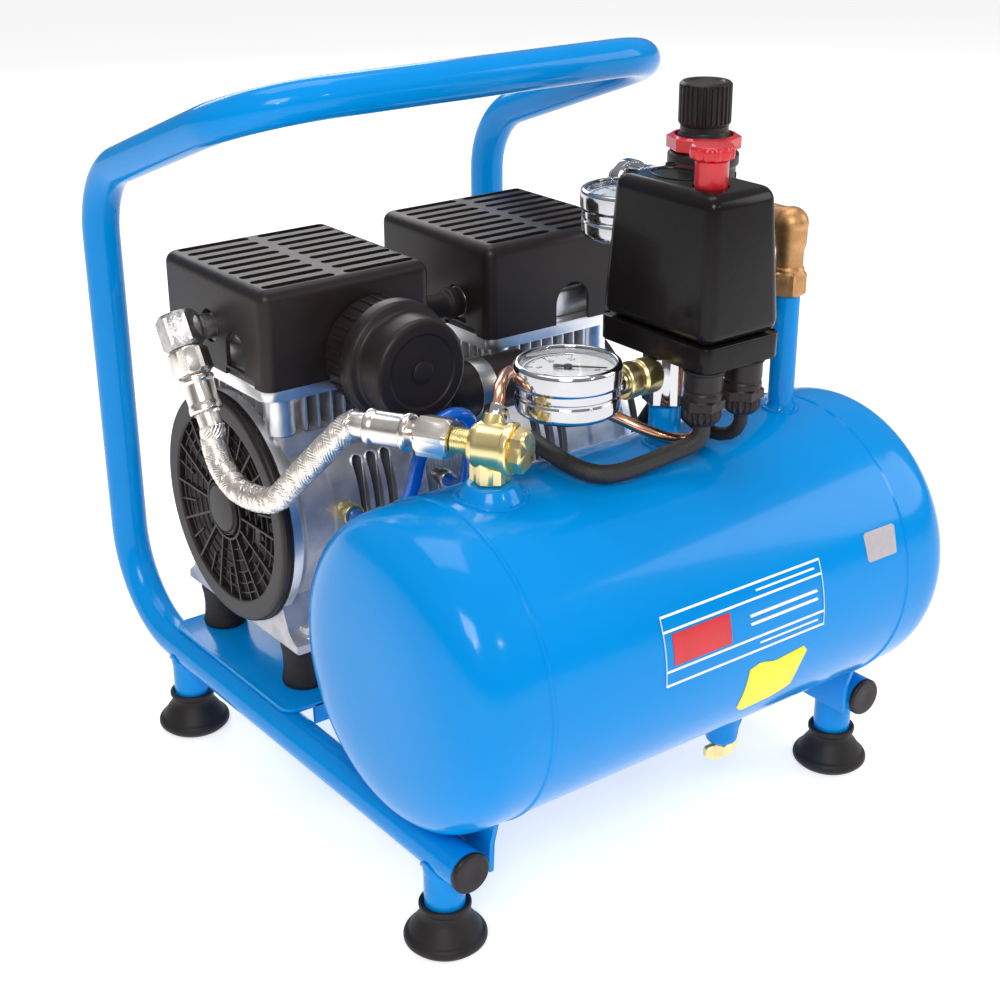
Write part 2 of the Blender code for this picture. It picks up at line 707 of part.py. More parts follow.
def intake_filter():
    back = MOTOR_Y - COVER_Y - 1.0
    profile = [
        (0, 49), (24.5, 49), (27, 46.5), (27, 31), (31, 29), (32, 27), (32, 20), (30, 18), (28.8, 17),
        (28.8, 1.5), (27.5, 0), (7, 0), (7, -(43 - COVER_Y) - 22.3), (0, -(43 - COVER_Y) - 22.3),
    ]
    turned("intake_filter", profile, (FILTER_X, back, FILTER_Z), (0, -1, 0), "black_plastic", 22)


def crossover_pipe():
    """The intake link between the two heads."""
    start = crank_x(-1) + 42 + GAP
    length = crank_x(1) - 42 - GAP - start
    profile = [
        (0, length), (8, length), (8, length - 12), (9, length - 13), (9, length - 17),
        (7, length - 18), (7, 18), (9, 17), (9, 13), (8, 12), (8, 0), (0, 0),
    ]
    turned("crossover_pipe", profile, (start, PORT_Y, PORT_Z), (1, 0, 0), "black_rubber", 16)


def capacitor():
    start, length = -36.0, 62.0
    profile = [
        (0, length), (CAP_R - 2, length), (CAP_R, length - 2), (CAP_R, 4), (CAP_R - 1.5, 2),
        (CAP_R - 1.5, 0), (0, 0),
    ]
    body = turned("capacitor", profile, (start, CAP_Y, CAP_Z), (1, 0, 0), "black_plastic", 20)
    join(body, box("cut_clip", (-15, 2, 195.3), (-5, 24, 214)))


def outlet_elbow():
    body = box("outlet_elbow", (-10, -10, -9.5), (10, 10, 9.5), "chrome")
    body.location = OUTLET * MM
    body.rotation_euler = turn_to(OUTLET_DIR)
    bevel(body, 4, 2)
    arm = crank_x(-1) - 46 - GAP - OUTLET.x
    join(body, cylinder("cut_elbow_arm", OUTLET, (1, 0, 0), 6.8, arm, sides=16))


def hose_end(name, start, direction, nut, shank, ferrule):
    """A swivel nut and a crimped ferrule: each length in turn, along the hose."""
    base = Vector(start)
    body = cylinder(name, base, direction, 11, nut, "chrome", 6)
    base = base + Vector(direction).normalized() * (nut - 1)
    neck = cylinder(f"cut_{name}_neck", base, direction, 6, shank + 2, sides=12)
    base = base + Vector(direction).normalized() * (shank + 1)
    profile = [
        (0, ferrule), (8, ferrule), (8.6, ferrule - 2), (8.6, 9), (9.3, 8), (9.3, 1), (8.6, 0), (0, 0),
    ]
    crimp = turned(f"cut_{name}_crimp", profile, base, direction, steps=16)
    join(body, neck, crimp)


def hose():
    start = OUTLET + OUTLET_DIR.normalized() * 45.3
    end = VALVE + VALVE_DIR.normalized() * 64.3
    lead_in = start + OUTLET_DIR.normalized() * 8
    lead_out = end + VALVE_DIR.normalized() * 8
    route = [start, lead_in, *HOSE_ROUTE, lead_out, end]
    tube("outlet_hose", smooth_route(route, 14), HOSE_R, "braid")


def check_valve():
    along = VALVE_DIR.normalized()
    profile = [
        (0, 19), (6.4, 19), (6.4, 10), (9.5, 8.5), (11.5, 5), (11.5, -9), (12.6, -9.5), (12.6, -12),
        (0, -12),
    ]
    body = turned("check_valve", profile, VALVE, along, "brass", 20)
    stem = cylinder("cut_valve_stem", (VALVE_X, TANK_Y, TANK_TOP + 6.6), (0, 0, 1), 8.8, 14, sides=8)
    port = cylinder("cut_valve_port", VALVE + Vector((0, 0, 5)), PORT_DIR, 5.6, 15, sides=6)
    plug = cylinder("cut_valve_plug", VALVE - along * 11, -along, 10.8, 8, sides=8)
    join(body, stem, port, plug)


def manifold():
    low = STUB_TOP + GAP
    high = SWITCH_LO.z - GAP
    body = cylinder(
        "manifold", (STUB_X, TANK_Y, low), (0, 0, 1), 11.8, high - low, "chrome", 6, turn=0.3,
    )
    start = GAUGE_1.x + GAUGE_R + GAUGE_STEM + GAP
    arm = cylinder("cut_arm", (start, TANK_Y, 261), (1, 0, 0), 9.2, STUB_X - start, sides=8)
    join(body, arm)


def gauge(number, base):
    """A face-up pressure gauge: a chrome cup with a side stem, and its needle."""
    rim = GAUGE_H
    profile = [
        (0, rim - 5), (22.8, rim - 5), (23.2, rim), (25.2, rim), (GAUGE_R, rim - 1.5),
        (GAUGE_R, rim - 9), (25.2, rim - 9.5), (25.2, 2.5), (23, 0), (0, 0),
    ]
    body = turned(f"gauge_{number}_case", profile, base, (0, 0, 1), "chrome", 20)
    stem_z = 7.0 if number == 1 else REG_PORT_Z - base.z
    start = base + Vector((20, 0, stem_z))
    reach = GAUGE_R + GAUGE_STEM - 20 if number == 1 else 10.7
    join(body, cylinder(f"cut_stem_{number}", start, (1, 0, 0), 5, reach, sides=8))
    middle = base + Vector((0, 0, rim - 4.2))
    needle = cylinder(f"gauge_{number}_needle", middle, (0, 0, 1), 2.2, 1.2, "black_plastic", 12)
    pointer = box(f"cut_pointer_{number}", (-6, -0.7, 0.2), (18, 0.7, 0.9))
    pointer.location = (middle + Vector((6 * math.cos(ZERO), 6 * math.sin(ZERO), 0.55))) * MM
    pointer.rotation_euler = (0, 0, ZERO)
    join(needle, pointer)


def switch():
    lo, hi = SWITCH_LO, SWITCH_HI
    base = box("switch_base", lo, (hi.x, hi.y, SWITCH_SEAM), "black_plastic")
    round_corners(base, 5)
    low = SWITCH_SEAM + GAP
    cover = box("switch_cover", (lo.x, lo.y, low), (hi.x, hi.y, hi.z), "black_plastic")
    for vertex in cover.data.vertices:
        if vertex.co.z > 0:
            vertex.co.x *= 0.84
            vertex.co.y *= 0.91
    bevel(cover, 6, 2)
    inner = box(
        "cut_switch", (lo.x + 6.5, lo.y + 6.5, low - 5), (hi.x - 6.5, hi.y - 6.5, hi.z - 4),
    )
    well = cylinder("cut_well", (*KNOB, hi.z - 14), (0, 0, 1), 8.7, 20, sides=16)
    cut(cover, inner, well)
    profile = [(0, 20), (8.5, 20), (10.6, 18.5), (10.8, 15), (8.2, 13.5), (8.2, -7), (0, -7)]
    turned("switch_knob", profile, (*KNOB, hi.z), (0, 0, 1), "red_plastic", 20)


def glands():
    for i, (x, y) in enumerate(GLANDS):
        top = SWITCH_LO.z - GAP
        body = cylinder(
            f"gland_{i + 1}", (x, y, GLAND_BOTTOM + 7), (0, 0, 1), 9.5, top - GLAND_BOTTOM - 7,
            "black_plastic", 16,
        )
        nut = cylinder(f"cut_gland_{i}", (x, y, GLAND_BOTTOM), (0, 0, 1), 10.8, 9, sides=6, turn=0.2)
        join(body, nut)


def regulator():
    x, y = REGULATOR
    z = REG_PORT_Z
    profile = [
        (0, 27), (17, 27), (19, 25), (19, 21.5), (17.5, 19), (17.5, -9), (13, -14), (13, -20), (0, -20),
    ]
    body = turned("regulator_body", profile, (x, y, z), (0, 0, 1), "black_plastic", 20)
    for i, direction in enumerate(((0, -1, 0), (0, 1, 0), (-1, 0, 0))):
        reach = 22 if i < 2 else 19.5
        join(body, cylinder(f"cut_port_{i}", (x, y, z), direction, 9, reach, sides=12))
    cut(body, cylinder("cut_reg_seat", (x, y, z + 20), (0, 0, 1), 11.5, 12, sides=16))
    ring = [(19.8, 35.5), (19.8, 27.3), (15.6, 27.3), (15.6, 35.5)]
    turned("regulator_ring", ring, (x, y, z), (0, 0, 1), "red_plastic", 8, ring=True)
    knob = [
        (0, 63), (12.5, 63), (14, 61.5), (14, 42), (12.8, 40), (12.8, 37.5), (14, 36), (14, 28.3),
        (10.8, 28.3), (10.8, 21), (0, 21),
    ]
    turned("regulator_knob", knob, (x, y, z), (0, 0, 1), "black_plastic", 24)


def inlet_elbow():
    low = RISER_TOP + GAP
    body = cylinder("inlet_elbow", (RISER_X, TANK_Y, low), (0, 0, 1), 9.6, 13, "brass", 6)
    stem = cylinder(
        "cut_elbow_stem", (RISER_X, TANK_Y, low + 11), (0, 0, 1), 8.3, REG_PORT_Z - low - 11, sides=16,
    )
    dome = turned(
        "cut_elbow_dome", [(0, 8.3), (5, 6.6), (8.3, 0), (5, -6.6), (0, -8.3)],
        (RISER_X, TANK_Y, REG_PORT_Z), (0, 0, 1), steps=16,
    )
    reach = REGULATOR[1] - 22 - GAP - TANK_Y
    arm = cylinder("cut_elbow_run", (RISER_X, TANK_Y, REG_PORT_Z), (0, 1, 0), 7.6, reach, sides=16)
    join(body, stem, dome, arm)


def coupler():
    """The quick coupler behind the regulator, with its sliding sleeve."""
    x, y = REGULATOR
    start = y + 22 + GAP
    profile = [(0, 46), (8, 46), (8, 12), (10.5, 11), (10.5, 0), (0, 0)]
    body = turned("coupler_body", profile, (x, start, REG_PORT_Z), (0, 1, 0), "steel", 12)
    cut(body, cylinder("cut_coupler_bore", (x, start + 20, REG_PORT_Z), (0, 1, 0), 5.3, 40, sides=12))
    sleeve = [
        (11, 40), (12, 39), (12, 33), (10.8, 32), (10.8, 22), (11.4, 21), (11.4, 18), (8.5, 18),
        (8.5, 40),
    ]
    turned("coupler_sleeve", sleeve, (x, start, REG_PORT_Z), (0, 1, 0), "chrome", 16, ring=True)


def drain_screw():
    top = DRAIN_Z + 6
    profile = [(0, 0), (3.4, 0), (3.4, -6.4), (5.5, -6.6), (5.5, -15), (0, -15)]
    body = turned("drain_screw", profile, (*DRAIN, top), (0, 0, 1), "brass", 14)
    outline = ((-12, -9), (-11, -7), (11, -7), (12, -9), (12, -14), (6, -18), (-6, -18), (-12, -14))
    wing = prism(
        "cut_wing", [(DRAIN[0] + a, top + b) for a, b in outline], DRAIN[1] - 1.5, DRAIN[1] + 1.5, "Y",
    )
    join(body, wing)


def lead_coil():
    """The mains lead's stored turns, and the plug at its end."""
    half = COIL_WIDE
    high = COIL_HIGH
    section = [
        (half - 2, high), (half, high - 2), (half, 2), (half - 2, 0), (2 - half, 0), (-half, 2),
        (-half, high - 2), (2 - half, high),
    ]
    profile = [(COIL_R + a, b) for a, b in section]
    turned("mains_coil", profile, COIL, (0, 0, 1), "black_rubber", 24, ring=True)
    x = COIL.x - COIL_R
    y = COIL.y - 37
    plug = [
        (0, 0), (5.5, 0), (6.5, 16), (17, 22), (18.5, 26), (18.5, 44), (17.5, 46), (0, 46),
    ]
    body = turned(
        "mains_plug", list(reversed(plug)), (x, y, 18.8), (0, -1, 0), "black_plastic", 16,
    )
    for side in (-1, 1):
        pin = cylinder(f"cut_pin_{side}", (x + side * 9.5, y - 44, 18.8), (0, -1, 0), 2.4, 21, sides=10)
        join(body, pin)


def build():
    frame()
    feet()
    rail_caps()
    tank()
    base_plate()
    motor_mounts()
    stator()
    rotor()
    for side in (-1, 1):
        crankcase(side)
        fan(side)
        fan_grille(side)
        piston(side)
        cylinder_block(side)
        head(side)
        head_cover(side)
    intake_filter()
    crossover_pipe()
    capacitor()
    outlet_elbow()
    hose_end("hose_end_upper", OUTLET + OUTLET_DIR.normalized() * 9.9, OUTLET_DIR, 14.5, 1, 19.6)
    hose_end("hose_end_lower", VALVE + VALVE_DIR.normalized() * 19.3, VALVE_DIR, 17, 4, 23.7)
    hose()
    check_valve()
    manifold()
    gauge(1, GAUGE_1)
    gauge(2, GAUGE_2)
    switch()
    glands()
    regulator()
    inlet_elbow()
    coupler()
    drain_screw()
    tube("copper_tube", smooth_route(COPPER_ROUTE, 13), COPPER_R, "copper")
    tube("vent_tube", smooth_route(VENT_ROUTE, 14), VENT_R, "blue_hose")
    tube("motor_cable", smooth_route(SLEEVE_ROUTE, 18), SLEEVE_R, "black_rubber")
    tube("mains_lead", smooth_route(LEAD_ROUTE, 15), LEAD_R, "black_rubber")
    lead_coil()


build()
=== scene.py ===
"""Looks of the airbrush compressor: fine pieces for the CAD nodes, their materials, and the studio.

Sizes and places are in millimetres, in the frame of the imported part: +X along the tank, +Y back to the
motor, +Z up, with the origin on the floor under the middle of the machine.
"""

import math

import bmesh
import bpy
from mathutils import Matrix, Vector


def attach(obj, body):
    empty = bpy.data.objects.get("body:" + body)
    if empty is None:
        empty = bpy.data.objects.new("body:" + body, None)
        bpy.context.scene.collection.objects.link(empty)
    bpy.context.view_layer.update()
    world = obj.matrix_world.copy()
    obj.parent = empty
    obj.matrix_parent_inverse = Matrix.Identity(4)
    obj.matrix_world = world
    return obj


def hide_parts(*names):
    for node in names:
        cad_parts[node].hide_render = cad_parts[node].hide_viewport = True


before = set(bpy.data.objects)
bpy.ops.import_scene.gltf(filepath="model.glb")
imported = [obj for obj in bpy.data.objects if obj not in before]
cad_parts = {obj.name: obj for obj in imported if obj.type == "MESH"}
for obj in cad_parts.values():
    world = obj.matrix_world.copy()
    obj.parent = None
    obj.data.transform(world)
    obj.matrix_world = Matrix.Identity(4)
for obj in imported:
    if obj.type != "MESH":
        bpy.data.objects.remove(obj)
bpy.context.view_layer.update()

MM = 0.001
UP = Vector((0, 0, 1))
SHARP_DEGREES = 34
SIDES = {-1: "left", 1: "right"}

# Frame, tank and base plate.
TUBE_R, RAIL_X, RAIL_Z, RAIL_FRONT_Y = 10.65, 137.4, 51.8, -160.8
UPRIGHT_Y, SHOULDER_Z, CROSSBAR = 190.3, 324.2, (12.0, 388.0)
FOOT_Y, LEG_BOTTOM = (-140.7, 121.9), 8.0
TANK_Y, TANK_Z, TANK_R, TANK_HALF, DISH = -120.8, 142.5, 80.2, 124.6, 39.0
TANK_TOP = TANK_Z + TANK_R
VALVE_X, STUB_X, RISER_X = -93.0, 16.0, 98.8
STUB_TOP, RISER_TOP = 244.0, 284.7
DRAIN, DRAIN_Z = (45.0, -143.7), 50.0
PLATE_LOW, PLATE_TOP, PLATE_BACK = 62.75, 65.25, 132.0

# Motor pump.
MOTOR = Vector((-10.0, 70.5, 160.0))
CASE_IN, CASE_OUT = 28.0, 119.0
CYLINDER_X = {-1: -81.0, 1: 61.0}
DECK_TOP, FLANGE, COVER_LOW, COVER_TOP = 212.3, (234.0, 241.0), 241.3, 294.5
PORT_Y, PORT_Z = 47.3, 257.0
OUTLET, OUTLET_DIR = Vector((-150.0, 74.0, 264.0)), Vector((0, -0.53, -0.848)).normalized()

# Fittings.
VALVE, VALVE_DIR = Vector((-93.0, -120.8, 247.0)), Vector((-0.483, 0.876, 0)).normalized()
PORT_DIR = Vector((0.55, 0.38, 0.74)).normalized()
GAUGES = (Vector((-47.0, -120.8, 254.0)), Vector((46.5, -56.0, 311.0)))
SWITCH_LO, SWITCH_HI, SEAM = Vector((4.0, -160.7, 271.0)), Vector((54.0, -82.7, 355.0)), 283.0
KNOB, GLANDS = (24.1, -138.2), ((12.5, -151.0), (39.0, -151.0))
REGULATOR = Vector((97.0, -56.0, 322.0))

# Free lines, as points that each one passes through.
HOSE_R, SLEEVE_R, LEAD_R, COPPER_R, VENT_R = 7.0, 4.5, 3.5, 3.0, 4.0
HOSE_START, HOSE_END = OUTLET + OUTLET_DIR * 45.3, VALVE + VALVE_DIR * 64.3
HOSE_ROUTE = [
    HOSE_START, HOSE_START + OUTLET_DIR * 8, (-150.3, 43.5, 208), (-151, 33, 197.5), (-151, 14, 192.5),
    (-149, -14, 198), (-143.5, -33, 217), (-135.5, -48, 235), HOSE_END + VALVE_DIR * 8, HOSE_END,
]
SLEEVE_ROUTE = [
    (12.5, -151, 242.7), (12.5, -151, 237.5), (8.5, -149.7, 232.5), (-3, -146.5, 229.3),
    (-18, -145, 227), (-34, -143.5, 226), (-45, -139, 227), (-50.5, -129, 229), (-50.5, -117, 230),
    (-47.5, -102, 229.5), (-42, -85, 227), (-37, -62, 221), (-33, -40, 213), (-30, -18, 202),
    (-29, 2, 196), (-29, 9.7, 196),
]
LEAD_ROUTE = [
    (39, -151, 242.7), (39, -151, 237.5), (38.3, -147, 231), (36, -139, 228), (33, -129, 229.5),
    (33, -118, 233), (35, -105, 235), (41, -90, 231), (49, -74, 219), (56, -58, 202),
    (63, -42, 178), (67, -33, 148), (69, -30, 115), (70, -29, 78), (70, -27, 45), (70, -20, 20),
    (70, -6, 7), (70, 8, 4), (70, 22, 3.9), (70.6, 34, 3.8), (72.2, 46.5, 3.8),
]
COPPER_ROUTE = [
    (-84.56, -114.97, 263.36), (-82.4, -113.4, 266.2), (-78, -108.5, 268.8), (-71, -101.5, 269.2),
    (-63.5, -94.5, 268.6), (-55, -89, 267), (-46, -86.8, 264), (-35.5, -89, 256.5), (-24, -102, 248),
    (-16, -119, 243.5), (-7, -131, 238), (5, -138, 232.5), (17, -140, 230.5), (24, -138.5, 234.5),
    (26.5, -136, 243), (26.5, -136, 262), (26.5, -136, 270.7),
]
VENT_ROUTE = [
    (-92, 1.7, 168), (-92, -6, 168), (-87, -26, 176), (-82.5, -38, 192), (-79, -41.5, 211),
    (-70, -41.5, 226), (-58, -41.5, 230.5), (-48, -41, 226), (-44, -38, 214), (-40, -31, 197),
    (-34, -19, 181), (-29, -4, 172), (-29, 3.7, 172),
]
COIL, COIL_TURNS = Vector((30.0, 60.0, 0)), 4.5
# Where the coiled lead lies: the turn at which it gets there, its radius and its height.
COIL_SLOTS = [
    (0.0, 43.6, 3.8), (0.805, 43.6, 3.8), (0.93, 36.4, 3.8), (1.667, 36.4, 3.8), (1.805, 36.4, 10.9),
    (2.528, 36.4, 10.9), (2.667, 43.6, 10.9), (3.389, 43.6, 10.9), (3.528, 40.0, 18.2), (4.5, 40.0, 18.2),
]
PLUG = Vector((-10.0, 23.0, 18.8))


# --- Camera, light and floor ------------------------------------------------------------------------

LENS, SENSOR, SHIFT = 62.19, 36, (0.0017, -0.0060)
CAMERA_AT, CAMERA_TURNS = Vector((-537.94, -717.68, 542.78)), (-36.98, 23.27, -0.25)
LAMP_AIM = Vector((0, 0, 0.18))
# Each lamp's name, place and size in metres, and power in watts.
LAMPS = [
    ("key", (-1.2, -1.3, 1.5), (0.8, 0.6), 19),
    ("fill", (1.5, -1.0, 1.0), (0.9, 0.9), 9),
    ("top", (0.1, 0.3, 2.0), (1.4, 1.0), 15),
    ("back", (0.6, 1.9, 1.2), (1.4, 0.7), 12),
    ("glint_left", (-1.0, -1.15, 0.95), (0.07, 0.16), 1.6),
    ("glint_right", (0.35, -1.6, 1.1), (0.16, 0.06), 1.4),
]
# The sky's grey level by height, from the ground up.
SKY, SKY_STRENGTH = ((0.12, 0.3), (0.3, 0.62), (0.55, 0.9)), 0.42
FLOOR_HALF, PAPER, PAPER_GLOW = 14, 0.72, 0.62


def added(name, data):
    """A new object in the scene."""
    thing = bpy.data.objects.new(name, data)
    bpy.context.scene.collection.objects.link(thing)
    return thing


def camera():
    data = bpy.data.cameras.new("camera")
    data.lens = LENS
    data.sensor_width = SENSOR
    data.shift_x, data.shift_y = SHIFT
    data.clip_end = 30
    turn, tilt, roll = (math.radians(v) for v in CAMERA_TURNS)
    back = Vector((math.sin(turn) * math.cos(tilt), -math.cos(turn) * math.cos(tilt), math.sin(tilt)))
    level = Vector((math.cos(turn), math.sin(turn), 0))
    upright = back.cross(level)
    right = level * math.cos(roll) + upright * math.sin(roll)
    above = upright * math.cos(roll) - level * math.sin(roll)
    place = Matrix((right, above, back)).transposed().to_4x4()
    place.translation = CAMERA_AT * MM
    thing = added("camera", data)
    thing.matrix_world = place
    bpy.context.scene.camera = thing


def lamp(name, place, size, watts):
    data = bpy.data.lights.new(name, "AREA")
    data.shape = "RECTANGLE"
    data.size, data.size_y = size
    data.energy = watts
    thing = added(name, data)
    thing.location = place
    thing.rotation_euler = (LAMP_AIM - Vector(place)).to_track_quat("-Z", "Y").to_euler()


def studio():
    world = bpy.data.worlds.new("studio")
    bpy.context.scene.world = world
    world.use_nodes = True
    nodes, links = world.node_tree.nodes, world.node_tree.links
    where = nodes.new("ShaderNodeTexCoord")
    split = nodes.new("ShaderNodeSeparateXYZ")
    ramp = nodes.new("ShaderNodeValToRGB")
    links.new(where.outputs["Generated"], split.inputs[0])
    links.new(split.outputs["Z"], ramp.inputs[0])
    links.new(ramp.outputs[0], nodes["Background"].inputs[0])
    stops = ramp.color_ramp.elements
    stops[0].position, stops[0].color = 0.0, (0.42, 0.43, 0.44, 1)
    stops[1].position, stops[1].color = 1.0, (1.0, 1.0, 1.0, 1)
    for position, level in SKY:
        stops.new(position).color = (level, level, level, 1)
    nodes["Background"].inputs[1].default_value = SKY_STRENGTH
    for row in LAMPS:
        lamp(*row)
    mesh = bpy.data.meshes.new("floor")
    work = bmesh.new()
    bmesh.ops.create_grid(work, x_segments=2, y_segments=2, size=FLOOR_HALF)
    work.to_mesh(mesh)
    work.free()
    floor = added("floor", mesh)
    paper = bpy.data.materials.new("paper")
    paper.use_nodes = True
    shader = paper.node_tree.nodes["Principled BSDF"]
    shader.inputs["Base Color"].default_value = (PAPER, PAPER, PAPER, 1)
    shader.inputs["Roughness"].default_value = 0.9
    shader.inputs["Emission Color"].default_value = (1, 1, 1, 1)
    shader.inputs["Emission Strength"].default_value = PAPER_GLOW
    mesh.materials.append(paper)
    bpy.context.scene.view_settings.view_transform = "Standard"


# --- Materials --------------------------------------------------------------------------------------


def material(name, colour, rough, metal=0.0, vary=0.08, cloud=60.0, spread=0.05, grain=None, coat=0.0,
             shine=0.5):
    """A procedural finish: cloudy colour and roughness, and a grain of (size in mm, height in mm)."""
    made = bpy.data.materials.new(name)
    made.use_nodes = True
    nodes, links = made.node_tree.nodes, made.node_tree.links
    shader = nodes["Principled BSDF"]
    shader.inputs["Metallic"].default_value = metal
    shader.inputs["Coat Weight"].default_value = coat
    shader.inputs["Specular IOR Level"].default_value = shine
    shader.inputs["Coat Roughness"].default_value = 0.04
    where = nodes.new("ShaderNodeTexCoord")
    noise = nodes.new("ShaderNodeTexNoise")
    noise.inputs["Scale"].default_value = cloud
    noise.inputs["Detail"].default_value = 5
    links.new(where.outputs["Object"], noise.inputs["Vector"])
    ramp = nodes.new("ShaderNodeValToRGB")
    links.new(noise.outputs["Fac"], ramp.inputs[0])
    for stop, position, share in zip(ramp.color_ramp.elements, (0.3, 0.7), (1 - vary, 1 + vary)):
        stop.position = position
        stop.color = (*[min(1.0, part * share) for part in colour], 1)
    links.new(ramp.outputs[0], shader.inputs["Base Color"])
    span = nodes.new("ShaderNodeMapRange")
    span.inputs["To Min"].default_value = rough - spread
    span.inputs["To Max"].default_value = rough + spread
    links.new(noise.outputs["Fac"], span.inputs["Value"])
    links.new(span.outputs[0], shader.inputs["Roughness"])
    if grain:
        size, height = grain
        fine = nodes.new("ShaderNodeTexNoise")
        fine.inputs["Scale"].default_value = 1000 / size
        fine.inputs["Detail"].default_value = 3
        links.new(where.outputs["Object"], fine.inputs["Vector"])
        bump = nodes.new("ShaderNodeBump")
        bump.inputs["Distance"].default_value = height * MM
        links.new(fine.outputs["Fac"], bump.inputs["Height"])
        links.new(bump.outputs[0], shader.inputs["Normal"])
    return made


def weave(name, colour, rough, metal, pitch, height):
    """A braided sleeve's fine threads, as crossed waves pitch mm apart."""
    made = material(name, colour, rough, metal, 0.16, 160.0)
    nodes, links = made.node_tree.nodes, made.node_tree.links
    where = next(node for node in nodes if node.type == "TEX_COORD")
    total = None
    for turn in (35, 145):
        spin = nodes.new("ShaderNodeMapping")
        spin.inputs["Rotation"].default_value = (math.radians(turn), math.radians(turn), 0)
        wave = nodes.new("ShaderNodeTexWave")
        wave.inputs["Scale"].default_value = 1000 / pitch / 6.3
        links.new(where.outputs["Object"], spin.inputs["Vector"])
        links.new(spin.outputs[0], wave.inputs["Vector"])
        if total is None:
            total = wave
            continue
        mixed = nodes.new("ShaderNodeMath")
        mixed.operation = "MAXIMUM"
        links.new(total.outputs["Fac"], mixed.inputs[0])
        links.new(wave.outputs["Fac"], mixed.inputs[1])
        bump = nodes.new("ShaderNodeBump")
        bump.inputs["Distance"].default_value = height * MM
        links.new(mixed.outputs[0], bump.inputs["Height"])
        links.new(bump.outputs[0], nodes["Principled BSDF"].inputs["Normal"])
    return made


def glass():
    made = bpy.data.materials.new("glass")
    made.use_nodes = True
    nodes, links = made.node_tree.nodes, made.node_tree.links
    shader = nodes["Principled BSDF"]
    shader.inputs["Transmission Weight"].default_value = 1.0
    shader.inputs["IOR"].default_value = 1.1
    shader.inputs["Base Color"].default_value = (1, 1, 1, 1)
    noise = nodes.new("ShaderNodeTexNoise")
    noise.inputs["Scale"].default_value = 90
    span = nodes.new("ShaderNodeMapRange")
    span.inputs["To Min"].default_value = 0.0
    span.inputs["To Max"].default_value = 0.03
    links.new(noise.outputs["Fac"], span.inputs["Value"])
    links.new(span.outputs[0], shader.inputs["Roughness"])
    return made


# Each finish: colour, roughness, metallic, and then material()'s other values in their order.
FINISHES = {
    "blue": ((0.0, 0.26, 0.7), 0.16, 0.0, 0.035, 12.0, 0.02, (2.2, 0.012), 0.12, 0.14),
    "plastic": ((0.017, 0.0115, 0.0115), 0.4, 0.0, 0.15, 70.0, 0.05, (0.5, 0.02), 0.0, 0.32),
    "gloss": ((0.009, 0.0075, 0.0075), 0.24, 0.0, 0.15, 60.0, 0.04, (0.8, 0.008), 0.05, 0.16),
    "rubber": ((0.013, 0.0095, 0.009), 0.55, 0.0, 0.25, 90.0, 0.08, (0.6, 0.03), 0.0, 0.35),
    "cast": ((0.5, 0.49, 0.51), 0.46, 0.75, 0.16, 110.0, 0.07, (0.9, 0.11)),
    "bright_cast": ((0.84, 0.84, 0.86), 0.34, 0.95, 0.1, 70.0, 0.06, (0.7, 0.05)),
    "rough_cast": ((0.46, 0.44, 0.44), 0.36, 0.95, 0.3, 260.0, 0.08, (1.1, 0.3)),
    "steel": ((0.5, 0.49, 0.48), 0.32, 1.0, 0.12, 90.0, 0.06, (0.5, 0.02)),
    "ferrule": ((0.86, 0.8, 0.74), 0.24, 1.0, 0.08, 70.0, 0.05, (0.5, 0.012)),
    "chrome": ((0.56, 0.56, 0.58), 0.09, 1.0, 0.04, 50.0, 0.03),
    "brass": ((1.0, 0.78, 0.38), 0.3, 1.0, 0.1, 80.0, 0.06, (0.6, 0.015)),
    "bronze": ((0.55, 0.3, 0.13), 0.45, 0.9, 0.25, 150.0, 0.08, (0.8, 0.12)),
    "copper": ((0.85, 0.45, 0.3), 0.24, 1.0, 0.14, 60.0, 0.06, (1.0, 0.015)),
    "red": ((0.62, 0.008, 0.018), 0.3, 0.0, 0.08, 60.0, 0.04, (0.8, 0.015), 0.3),
    "hose_blue": ((0.0, 0.13, 0.62), 0.25, 0.0, 0.1, 80.0, 0.04, (1.0, 0.01), 0.4),
    "white_print": ((0.86, 0.87, 0.88), 0.35, 0.0, 0.03, 60.0),
    "yellow_print": ((0.93, 0.8, 0.0), 0.35, 0.0, 0.03, 60.0),
    "grey_print": ((0.5, 0.47, 0.5), 0.4, 0.2, 0.06, 400.0),
    "dial": ((0.85, 0.86, 0.86), 0.45, 0.0, 0.02, 60.0),
    "ink": ((0.01, 0.01, 0.012), 0.4, 0.0, 0.1, 60.0),
    "braid": ((0.88, 0.79, 0.73), 0.3, 0.95, 0.2, 300.0, 0.06, (0.35, 0.03)),
}
MATERIALS = {name: material(name, *values) for name, values in FINISHES.items()}
MATERIALS["sleeve"] = weave("sleeve", (0.018, 0.016, 0.016), 0.55, 0.0, 0.8, 0.12)
MATERIALS["glass"] = glass()


# --- Shapes -----------------------------------------------------------------------------------------


def rounded(profile, radius, ring=False, steps=3):
    """A profile with its corners replaced by short curves, so that edges catch the light."""
    points = [Vector(point) for point in profile]
    count = len(points)
    made = []
    for i, corner in enumerate(points):
        if not ring and i in (0, count - 1):
            made.append(tuple(corner))
            continue
        before, after = points[i - 1] - corner, points[(i + 1) % count] - corner
        reach = min(radius, before.length * 0.4, after.length * 0.4)
        a, b = corner + before.normalized() * reach, corner + after.normalized() * reach
        for k in range(steps + 1):
            t = k / steps
            made.append(tuple(a * (1 - t) ** 2 + corner * 2 * t * (1 - t) + b * t**2))
    return made


def across(sides):
    """The radius of a polygon of that many sides, as a share of its corner radius, by angle."""
    half = math.pi / sides
    return lambda angle: math.cos(half) / math.cos((angle % (2 * half)) - half)


def ribs(count, depth):
    """The radius of a ribbed grip, as a share of its outer radius, by angle."""
    return lambda angle: 1 - depth * (0.5 - 0.5 * math.tanh(3 * math.cos(count * angle)))


